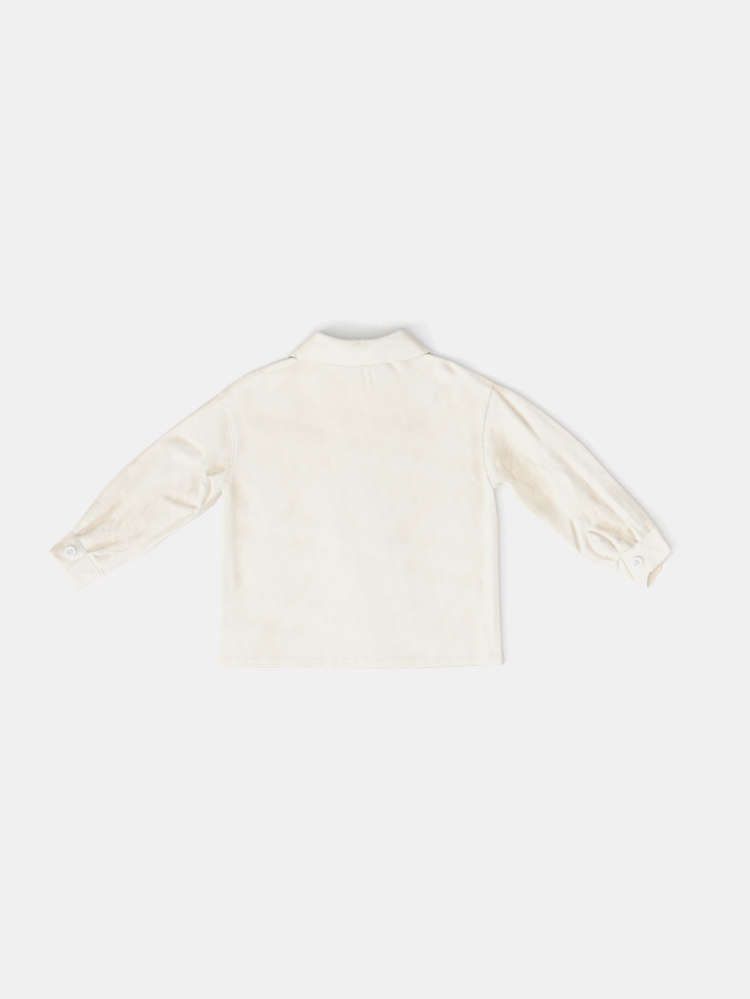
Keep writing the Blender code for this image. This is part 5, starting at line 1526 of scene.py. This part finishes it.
def make_collar():
    """The collar, one strip folded over along its length, all round the neck."""
    seams, folds, edges, rolls = collar_lines()
    spans = len(seams) - 1
    place = np.linspace(0.0, spans, COLLAR_ROWS + 1)
    ahead, behind = np.minimum(place + 0.5, spans), np.maximum(place - 0.5, 0.0)
    onward = at_station(folds, ahead) - at_station(folds, behind)
    seam, fold, edge, roll = (at_station(values, place) for values in (seams, folds, edges, rolls))
    out = unit(fold - (seam + edge) / 2)
    apart = unit(np.cross(onward, out))
    stand_end, fall_start = fold - apart * roll, fold + apart * roll
    crown = COLLAR_CROWN * smooth_step((fold[:, 2:] - COLLAR_CROWN_START) / COLLAR_CROWN_REACH)
    sections = [lerp(seam, stand_end, step / COLLAR_STAND_STEPS) for step in range(COLLAR_STAND_STEPS)]
    for step in range(COLLAR_ARC_STEPS + 1):
        angle = math.pi * step / COLLAR_ARC_STEPS
        sections.append(fold - apart * roll * math.cos(angle) + out * roll * math.sin(angle))
    for step in range(1, COLLAR_FALL_STEPS + 1):
        share = step / COLLAR_FALL_STEPS
        sections.append(lerp(fall_start, edge, share) + apart * crown * 4 * share * (1 - share))
    places = np.stack(sections, axis=1)
    flat = places.reshape(-1, 3)
    creases = sum(fold_rise(crease, flat[:, 0], flat[:, 1]) for crease in COLLAR_FOLDS)
    fall = np.tile(np.arange(places.shape[1]) > COLLAR_STAND_STEPS + COLLAR_ARC_STEPS // 2, len(places))
    upper_side = fall & (flat[:, 2] > COLLAR_TOP_SIDE)
    clear = upper_height(flat[:, 0], flat[:, 1]) + COLLAR_WALL / 2 + COLLAR_EDGE_GAP
    flat[:, 2] = np.where(upper_side, np.maximum(flat[:, 2] + creases, clear), flat[:, 2])
    places = flat.reshape(places.shape)
    travelled = ring_lengths(places)
    along = np.concatenate(([0.0], np.cumsum(np.linalg.norm(np.diff(fold, axis=0), axis=1))))
    grain = np.dstack((np.repeat(along[:, None], places.shape[1], axis=1), travelled))
    # Painted shade on the fall: from the strokes, and deeper in its creases.
    shaded = np.where(upper_side, shade_total(COLLAR_SHADES, flat[:, 0], flat[:, 1]), 0.0)
    painted_shade = np.clip(shaded - creases / CREASE_SHADE_DEPTH, 0, 1).reshape(places.shape[:2])
    stitched = []
    for section, lengths, outwards in zip(places, travelled, apart):
        inset = lengths[-1] - COLLAR_STITCH_INSET
        on_line = [np.interp(inset, lengths, section[:, axis]) for axis in range(3)]
        stitched.append(np.array(on_line) + outwards * COLLAR_WALL / 2)

    def outside(centre):
        return Vector((centre.x, centre.y - COLLAR_CENTRE[0], centre.z - COLLAR_CENTRE[1])).normalized()

    return sew_sheet("collar", places, grain, painted_shade, outside, SHADED_COLLAR_CLOTH, COLLAR_WALL, 0.0), stitched


collar, collar_stitch_line = make_collar()

# %% [markdown]
# ## Buttons
# A shirt button is turned on a lathe and then drilled, so it is made that way here: half of its section
# is spun round, and four small drills are taken out of it. Thread goes down one hole and up the next.

# %% Sizes of a button
BUTTON_DIAMETER = 12.5
BUTTON_HOLE_DIAMETER = 1.3
BUTTON_HOLE_SPREAD = 3.1
BUTTON_SIDES = 48
BUTTON_FLOOR = 0.70
BUTTON_PROFILE = [(0.0, BUTTON_FLOOR), (0.58, BUTTON_FLOOR), (0.66, 0.78), (0.73, 0.95), (0.80, 1.0),
                  (0.89, 0.97), (0.96, 0.84), (1.0, 0.58), (0.98, 0.30), (0.90, 0.08),
                  (0.84, 0.0), (0.0, 0.0)]
BUTTON_SHARP = 40.0
DRILL_SIDES = 16
DRILL_LENGTH = 3 * BUTTON_THICKNESS
print("button", BUTTON_DIAMETER, "mm across and", BUTTON_THICKNESS, "mm thick")

# %% Turned and drilled button
def button_frame(centre, normal, turn):
    """Where a button's own axes stand in the shirt, in metres."""
    facing = Vector(normal).normalized().to_track_quat('Z', 'Y').to_matrix().to_4x4()
    return Matrix.Translation(Vector(centre) * MM) @ facing @ Matrix.Rotation(math.radians(turn), 4, 'Z')


def apply_modifiers(piece):
    """Keeps what a piece's modifiers made as its own mesh."""
    shaped = bpy.data.meshes.new_from_object(piece.evaluated_get(bpy.context.evaluated_depsgraph_get()))
    piece.modifiers.clear()
    piece.data = shaped
    return piece


def make_button(name, placed):
    """A four-hole button, turned and drilled, at its place."""
    radius = BUTTON_DIAMETER / 2
    disc = bmesh.new()
    line = [disc.verts.new((x * radius * MM, 0.0, z * BUTTON_THICKNESS * MM)) for x, z in BUTTON_PROFILE]
    for start, end in zip(line, line[1:]):
        disc.edges.new((start, end))
    bmesh.ops.spin(disc, geom=disc.verts[:] + disc.edges[:], cent=(0, 0, 0), axis=(0, 0, 1),
                   angle=math.tau, steps=BUTTON_SIDES, use_merge=True)
    bmesh.ops.remove_doubles(disc, verts=disc.verts, dist=MERGE_DISTANCE / 2)
    bmesh.ops.recalc_face_normals(disc, faces=disc.faces)
    mesh = bpy.data.meshes.new(name)
    disc.to_mesh(mesh)
    disc.free()
    mesh.shade_smooth()
    drills = bmesh.new()
    half = BUTTON_HOLE_SPREAD / 2 * MM
    for x, y in ((half, half), (-half, half), (-half, -half), (half, -half)):
        bmesh.ops.create_cone(drills, cap_ends=True, segments=DRILL_SIDES,
                              radius1=BUTTON_HOLE_DIAMETER / 2 * MM,
                              radius2=BUTTON_HOLE_DIAMETER / 2 * MM, depth=DRILL_LENGTH * MM,
                              matrix=Matrix.Translation((x, y, BUTTON_THICKNESS / 2 * MM)))
    drill_mesh = bpy.data.meshes.new(name + "_drills")
    drills.to_mesh(drill_mesh)
    drills.free()
    cutter = bpy.data.objects.new(name + "_drills", drill_mesh)
    bpy.context.scene.collection.objects.link(cutter)
    piece = add_piece(name + "_turned", mesh, BUTTON_WHITE)
    holes = piece.modifiers.new("thread holes", 'BOOLEAN')
    holes.operation = 'DIFFERENCE'
    holes.object = cutter
    apply_modifiers(piece)
    bpy.data.objects.remove(cutter, do_unlink=True)
    piece.data.transform(placed)
    piece.data.set_sharp_from_angle(angle=math.radians(BUTTON_SHARP))
    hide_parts(name)
    return piece


print("holes", BUTTON_HOLE_DIAMETER, "mm wide,", BUTTON_HOLE_SPREAD, "mm apart")

# %% [markdown]
# ## Thread in the holes
# A few strands are laid side by side, as a machine sews them, in two bars or in a cross. They are slim
# ellipsoids that reach a little way down into the holes.

# %% Thread of a button
STRAND_WIDTH = 0.28
STRAND_OVERHANG = 0.15
STRAND_FLATNESS = 0.6
STRAND_HALF_HEIGHT = 0.5
STRAND_LIFT = 0.1
CROSSING_LIFT = 0.25
STRANDS = (-1, 0, 1)


def make_button_thread(name, placed, crossed):
    """Strands on each pair of holes, side by side, either as two bars or as a cross."""
    half = BUTTON_HOLE_SPREAD / 2
    strands = bmesh.new()
    if crossed:
        bars = [((-half, -half), (half, half)), ((-half, half), (half, -half))]
    else:
        bars = [((-half, -half), (-half, half)), ((half, -half), (half, half))]
    for level, (start, end) in enumerate(bars):
        start, end = Vector(start), Vector(end)
        along = (end - start).normalized()
        beside = Vector((-along.y, along.x))
        for strand in STRANDS:
            middle = (start + end) / 2 + beside * strand * STRAND_WIDTH
            turn = Matrix.Rotation(math.atan2(along.y, along.x), 4, 'Z')
            half_length = (end - start).length / 2 + STRAND_OVERHANG
            size = Matrix.Diagonal((half_length * MM, STRAND_WIDTH * STRAND_FLATNESS * MM,
                                    STRAND_HALF_HEIGHT * MM, 1.0))
            height = BUTTON_THICKNESS * BUTTON_FLOOR + STRAND_LIFT + CROSSING_LIFT * level * crossed
            place = Matrix.Translation(Vector((middle.x, middle.y, height)) * MM)
            bmesh.ops.create_uvsphere(strands, u_segments=12, v_segments=8, radius=1.0,
                                      matrix=place @ turn @ size)
    mesh = bpy.data.meshes.new(name)
    strands.to_mesh(mesh)
    strands.free()
    mesh.shade_smooth()
    mesh.transform(placed)
    return add_piece(name, mesh, BUTTON_THREAD)


print("strands on each pair of holes:", len(STRANDS))

# %% [markdown]
# ## Where the buttons sit
# A cuff button lies flat on the cloth, so its tilt is taken from the slope of the cuff round it, and its
# height from the highest place beneath its rim. The front buttons look down at the table.

# %% Buttons on the cuffs and the front
CUFF_BUTTON_TURN = 12.0
SEAT_POINTS = 12
SEAT_STEP = 0.8
FRONT_BUTTON_COUNT = 5
FRONT_BUTTON_TOP = 84.0
FRONT_BUTTON_PITCH = 54.0


def height_at_cuff(cuff, x, y):
    """The height of a cuff's upper face at one plan point."""
    return float(cuff_top(cuff, np.array([x]), np.array([y]))[0])


def cuff_seat(cuff, radius):
    """Height and upward normal of a cuff's free end under its button."""
    x, y = cuff.button
    turns = np.linspace(0, math.tau, SEAT_POINTS + 1)[:-1]
    ring_x = np.append(x + radius * np.cos(turns), x)
    ring_y = np.append(y + radius * np.sin(turns), y)
    step = radius * SEAT_STEP
    east, west = height_at_cuff(cuff, x + step, y), height_at_cuff(cuff, x - step, y)
    north, south = height_at_cuff(cuff, x, y + step), height_at_cuff(cuff, x, y - step)
    slope_x, slope_y = (east - west) / (2 * step), (north - south) / (2 * step)
    base = (cuff_top(cuff, ring_x, ring_y) - slope_x * (ring_x - x) - slope_y * (ring_y - y)).max()
    return base, (-slope_x, -slope_y, 1.0)


for cuff in CUFFS:
    base, normal = cuff_seat(cuff, BUTTON_DIAMETER / 2)
    x, y = cuff.button
    placed = button_frame((x, y, base), normal, CUFF_BUTTON_TURN)
    make_button(cuff.name + "_button", placed)
    make_button_thread(cuff.name + "_button_thread", placed, cuff.name == "right_cuff")
FRONT_BUTTONS = [(0.0, FRONT_BUTTON_TOP - FRONT_BUTTON_PITCH * index) for index in range(FRONT_BUTTON_COUNT)]
for index, (x, y) in enumerate(FRONT_BUTTONS, start=1):
    name = "front_button_" + str(index)
    placed = button_frame((x, y, BUTTON_THICKNESS), (0.0, 0.0, -1.0), 0.0)
    make_button(name, placed)
    make_button_thread(name + "_thread", placed, False)
print("buttons:", len(CUFFS) + len(FRONT_BUTTONS))

# %% [markdown]
# ## Stitches
# Real stitching is a row of short thread bridges, each sunk a little into the cloth. Each is a slim
# ellipsoid laid along the surface, and a whole run is one piece. At their true size they read as the
# faint lines that topstitching makes on pale cloth.

# %% A row of stitches
STITCH_LENGTH = 2.1
STITCH_PITCH = 2.7
STITCH_WIDTH = 0.42


def stitch_run(name, points, thread=THREAD):
    """A row of stitches along places in millimetres, evenly spaced."""
    line = np.asarray(points, float)
    reach = np.concatenate(([0.0], np.cumsum(np.linalg.norm(np.diff(line, axis=0), axis=1))))
    count = max(int(reach[-1] / STITCH_PITCH), 1)
    centres = (np.arange(count) + 0.5) * reach[-1] / count
    half = STITCH_LENGTH / 2
    ends = [np.column_stack([np.interp(centres + shift, reach, line[:, axis]) for axis in range(3)])
            for shift in (-half, half)]
    run = bmesh.new()
    for start, end in zip(*ends):
        along = Vector(end - start)
        facing = along.to_track_quat('X', 'Z').to_matrix().to_4x4()
        size = Matrix.Diagonal((STITCH_LENGTH / 2 * MM, STITCH_WIDTH / 2 * MM, STITCH_WIDTH / 2 * MM, 1.0))
        place = Matrix.Translation(Vector((start + end) / 2) * MM)
        bmesh.ops.create_uvsphere(run, u_segments=6, v_segments=4, radius=1.0, matrix=place @ facing @ size)
    mesh = bpy.data.meshes.new(name)
    run.to_mesh(mesh)
    run.free()
    mesh.shade_smooth()
    add_piece(name, mesh, thread)
    print(name + ":", count)
    return count


def on_upper(plan, lift=0.0):
    """Places on the upper layer's outer face at plan points."""
    x, y = plan[:, 0], plan[:, 1]
    heights = upper_height(x, y) + armhole_relief(x, y, True) * roll_share(distance_to_edge(x, y))
    return np.column_stack((plan, heights + lift))


def inset_line(points, inset, samples=200, margin=0.0):
    """A line beside a curve, to its left when inset is positive."""
    curve = smooth_curve(points)
    shares = np.linspace(margin, 1 - margin, samples)
    line = curve(shares)
    along = np.gradient(line, axis=0)
    along /= np.linalg.norm(along, axis=1)[:, None]
    return line + np.column_stack((-along[:, 1], along[:, 0])) * inset


print("a stitch is", STITCH_LENGTH, "mm long, every", STITCH_PITCH, "mm")

# %% Stitches on the back and the collar
stitches = 0
hem_line = inset_line(BACK_HEM, HEM_DEPTH - HEM_STITCH_INSET, margin=0.008)
hem_height = on_upper(hem_line)
hem_height[:, 2] += hem_relief(hem_line[:, 0], hem_line[:, 1], smooth_curve(BACK_HEM))
stitches += stitch_run("back_hem_stitches", hem_height)
stitches += stitch_run("collar_stitches", collar_stitch_line)

# %% Stitches on the cuffs
CUFF_STITCH_INSETS = (1.3, 3.4)
LOWER_ROW_GAP = 1.5
CUFF_ROW_SHARES = np.linspace(0.03, 0.97, 60)
CUFF_END_SHARES = np.linspace(0.06, 0.94, 30)


def lower_cuff_row(cuff, inset):
    """Places beside a cuff's seam on the end that lies beneath, as far as the free end covers it."""
    seam = smooth_curve(cuff.beneath_seam)(CUFF_ROW_SHARES)
    wrist = smooth_curve(cuff.beneath_wrist)(CUFF_ROW_SHARES)
    line = seam + (wrist - seam) / np.linalg.norm(wrist - seam, axis=1)[:, None] * inset
    corners = (cuff.over_seam[0], cuff.over_wrist[0], cuff.over_seam[-1])
    start, end, other = (np.array(point) for point in corners)
    away = [(point[0] - start[0]) * (end - start)[1] - (point[1] - start[1]) * (end - start)[0]
            for point in (*line, other)]
    away = np.array(away) / np.linalg.norm(end - start)
    line = line[away[:-1] * np.sign(away[-1]) < -LOWER_ROW_GAP]
    x, y = line[:, 0], line[:, 1]
    return np.column_stack((line, upper_height(x, y) + CUFF_RAISE + cuff_tilt(cuff, x, y)))


for cuff in CUFFS:
    over = smooth_curve(cuff.over_seam)(CUFF_ROW_SHARES)
    wrist = smooth_curve(cuff.over_wrist)(CUFF_ROW_SHARES)
    reach = np.linalg.norm(wrist - over, axis=1)[:, None]
    # The left cuff's seam is sewn in the dark brown thread, as painted shade in its groove.
    thread = SHADED_SEAM_THREAD if cuff.name == "left_cuff" else THREAD
    for row, inset in enumerate(CUFF_STITCH_INSETS, start=1):
        line = over + (wrist - over) / reach * inset
        rows = np.column_stack((line, cuff_top(cuff, line[:, 0], line[:, 1])))
        stitches += stitch_run(cuff.name + "_seam_stitches_" + str(row), rows, thread)
    lower_row = lower_cuff_row(cuff, CUFF_STITCH_INSETS[1])
    stitches += stitch_run(cuff.name + "_lower_seam_stitches", lower_row, thread)
    end = lerp(over[0], wrist[0], CUFF_END_SHARES[:, None])
    end += (over[1] - over[0]) / np.linalg.norm(over[1] - over[0]) * CUFF_STITCH_INSETS[0]
    rows = np.column_stack((end, cuff_top(cuff, end[:, 0], end[:, 1])))
    stitches += stitch_run(cuff.name + "_end_stitches", rows)

# %% Stitches on the fronts
PLACKET_STITCH_X = 9.8
PLACKET_SAMPLES = 120
PLACKET_MARGIN_BELOW = 2
PLACKET_MARGIN_ABOVE = 3


def under_front(plan, overlapped):
    """Places on a front's outer face, which looks down at the table, with the thread pressed in."""
    x, y = plan[:, 0], plan[:, 1]
    heights = np.maximum(lower_height(x, y), STITCH_WIDTH / 2)
    if overlapped:
        inner = (OVERLAP + OVERLAP_EASE_REACH - (x + OVERLAP / 2)) / OVERLAP_EASE
        heights += FRONT_LAYER_STEP * smooth_step(inner)
    return np.column_stack((plan, heights))


for name, side, front_edge in (("left", LEFT_SIDE, OVERLAP / 2), ("right", RIGHT_SIDE, -OVERLAP / 2)):
    corner = (front_edge, side[0][1] - FRONT_EDGE_DROP)
    points = [side[0], corner] if name == "left" else [corner, side[0]]
    hem = inset_line(points, HEM_DEPTH - HEM_STITCH_INSET, margin=0.02)
    stitches += stitch_run(name + "_front_hem_stitches", under_front(hem, name == "right"))
placket_y = np.linspace(HEM_Y + PLACKET_MARGIN_BELOW, NECK_Y - FRONT_NECK_DEPTH - PLACKET_MARGIN_ABOVE,
                        PLACKET_SAMPLES)
for row, x in enumerate((PLACKET_STITCH_X, -PLACKET_STITCH_X), start=1):
    down = np.column_stack((np.full(PLACKET_SAMPLES, x), placket_y))
    stitches += stitch_run("placket_stitches_" + str(row), under_front(down, False))

# %% Stitches at the armholes
# The armhole seams are sewn in the dark brown thread, as painted shade in their groove.
for hand, inset in (("left", -1.6), ("right", 1.6)):
    seam = inset_line({"left": LEFT_ARMHOLE, "right": RIGHT_ARMHOLE}[hand], inset, margin=0.03)
    stitches += stitch_run(hand + "_armhole_stitches", on_upper(seam), SHADED_SEAM_THREAD)
print("stitches in all:", stitches)

# %% [markdown]
# ## Cloth sheets
# The shirt is sewn from these sheets: the back, two fronts, two sleeves, the collar and the cuffs.

# %% Number of cloth sheets
print("sheets:", 6 + len(cuffs))

# %% [markdown]
# ## Table, light and camera
# The shirt lies on a plain white table and is seen from straight above. Two distant lights come from the
# lower left, so that shadows fall to the upper right: a low one with fairly sharp shadows, as from a
# window, and a higher, very soft one. A bright, even surround fills them. The picture of such a table is
# usually over-exposed, which leaves it one even pale grey with no faint shadows. The same is done here:
# the table is brighter than the camera's response can hold, and everything above that limit is cut.

# %% Table
TABLE_HALF_WIDTH = 4.0
TABLE_DROP = 0.0002


def make_table():
    """A plain white table top under the shirt."""
    top = bmesh.new()
    bmesh.ops.create_grid(top, x_segments=1, y_segments=1, size=TABLE_HALF_WIDTH,
                          matrix=Matrix.Translation((0, 0, -TABLE_DROP)))
    mesh = bpy.data.meshes.new("table")
    top.to_mesh(mesh)
    top.free()
    table = bpy.data.objects.new("table", mesh)
    bpy.context.scene.collection.objects.link(table)
    mesh.materials.append(plain_material("table_white", (0.96, 0.96, 0.96), roughness=0.9))
    return table


make_table()
print("table", 2 * TABLE_HALF_WIDTH, "m wide,", round(TABLE_DROP / MM, 2), "mm below the shirt")

# %% Lights and surround
WORLD_STRENGTH = 0.687


def add_daylight(name, azimuth, elevation, softness, strength):
    """A distant light from the given side, in degrees from +X, with its softness as an angle in degrees."""
    data = bpy.data.lights.new(name, 'SUN')
    data.energy = strength
    data.angle = math.radians(softness)
    light = bpy.data.objects.new(name, data)
    bpy.context.scene.collection.objects.link(light)
    flat, high = math.cos(math.radians(elevation)), math.sin(math.radians(elevation))
    turn = math.radians(azimuth)
    towards = Vector((math.cos(turn) * flat, math.sin(turn) * flat, high))
    light.rotation_euler = towards.to_track_quat('Z', 'Y').to_euler()
    return light


add_daylight("window_light", azimuth=208.0, elevation=26.0, softness=7.0, strength=0.64)
add_daylight("soft_light", azimuth=243.0, elevation=52.0, softness=60.0, strength=0.80)
world = bpy.data.worlds.new("surround")
world.use_nodes = True
background = world.node_tree.nodes["Background"]
background.inputs["Color"].default_value = (1.0, 1.0, 1.0, 1.0)
background.inputs["Strength"].default_value = WORLD_STRENGTH
bpy.context.scene.world = world
print("surround strength:", WORLD_STRENGTH)

# %% Response of the camera to the white table
PAPER_WHITE = 0.871
exposure = bpy.context.scene.view_settings
exposure.view_transform = 'Standard'
exposure.use_curve_mapping = True
exposure.curve_mapping.extend = 'HORIZONTAL'
exposure.curve_mapping.curves[3].points[-1].location = (PAPER_WHITE, PAPER_WHITE)
exposure.curve_mapping.update()
print("everything above", PAPER_WHITE, "is cut to it")

# %% Camera
IMAGE_SIZE = (750, 999)
MM_PER_PIXEL = 1.12
SHIRT_MIDDLE_PIXEL = 360.0
CAMERA_HEIGHT = 2400.0
SENSOR = 36.0
FAR_CLIP = 20.0
camera_data = bpy.data.cameras.new("camera")
camera_data.sensor_width = SENSOR
camera_data.lens = SENSOR * CAMERA_HEIGHT / (IMAGE_SIZE[1] * MM_PER_PIXEL)
camera_data.clip_end = FAR_CLIP
camera = bpy.data.objects.new("camera", camera_data)
shift = (IMAGE_SIZE[0] / 2 - SHIRT_MIDDLE_PIXEL) * MM_PER_PIXEL
camera.location = (shift * MM, 0.0, CAMERA_HEIGHT * MM)
bpy.context.scene.collection.objects.link(camera)
bpy.context.scene.camera = camera
print("camera lens:", round(camera_data.lens, 2), "mm")
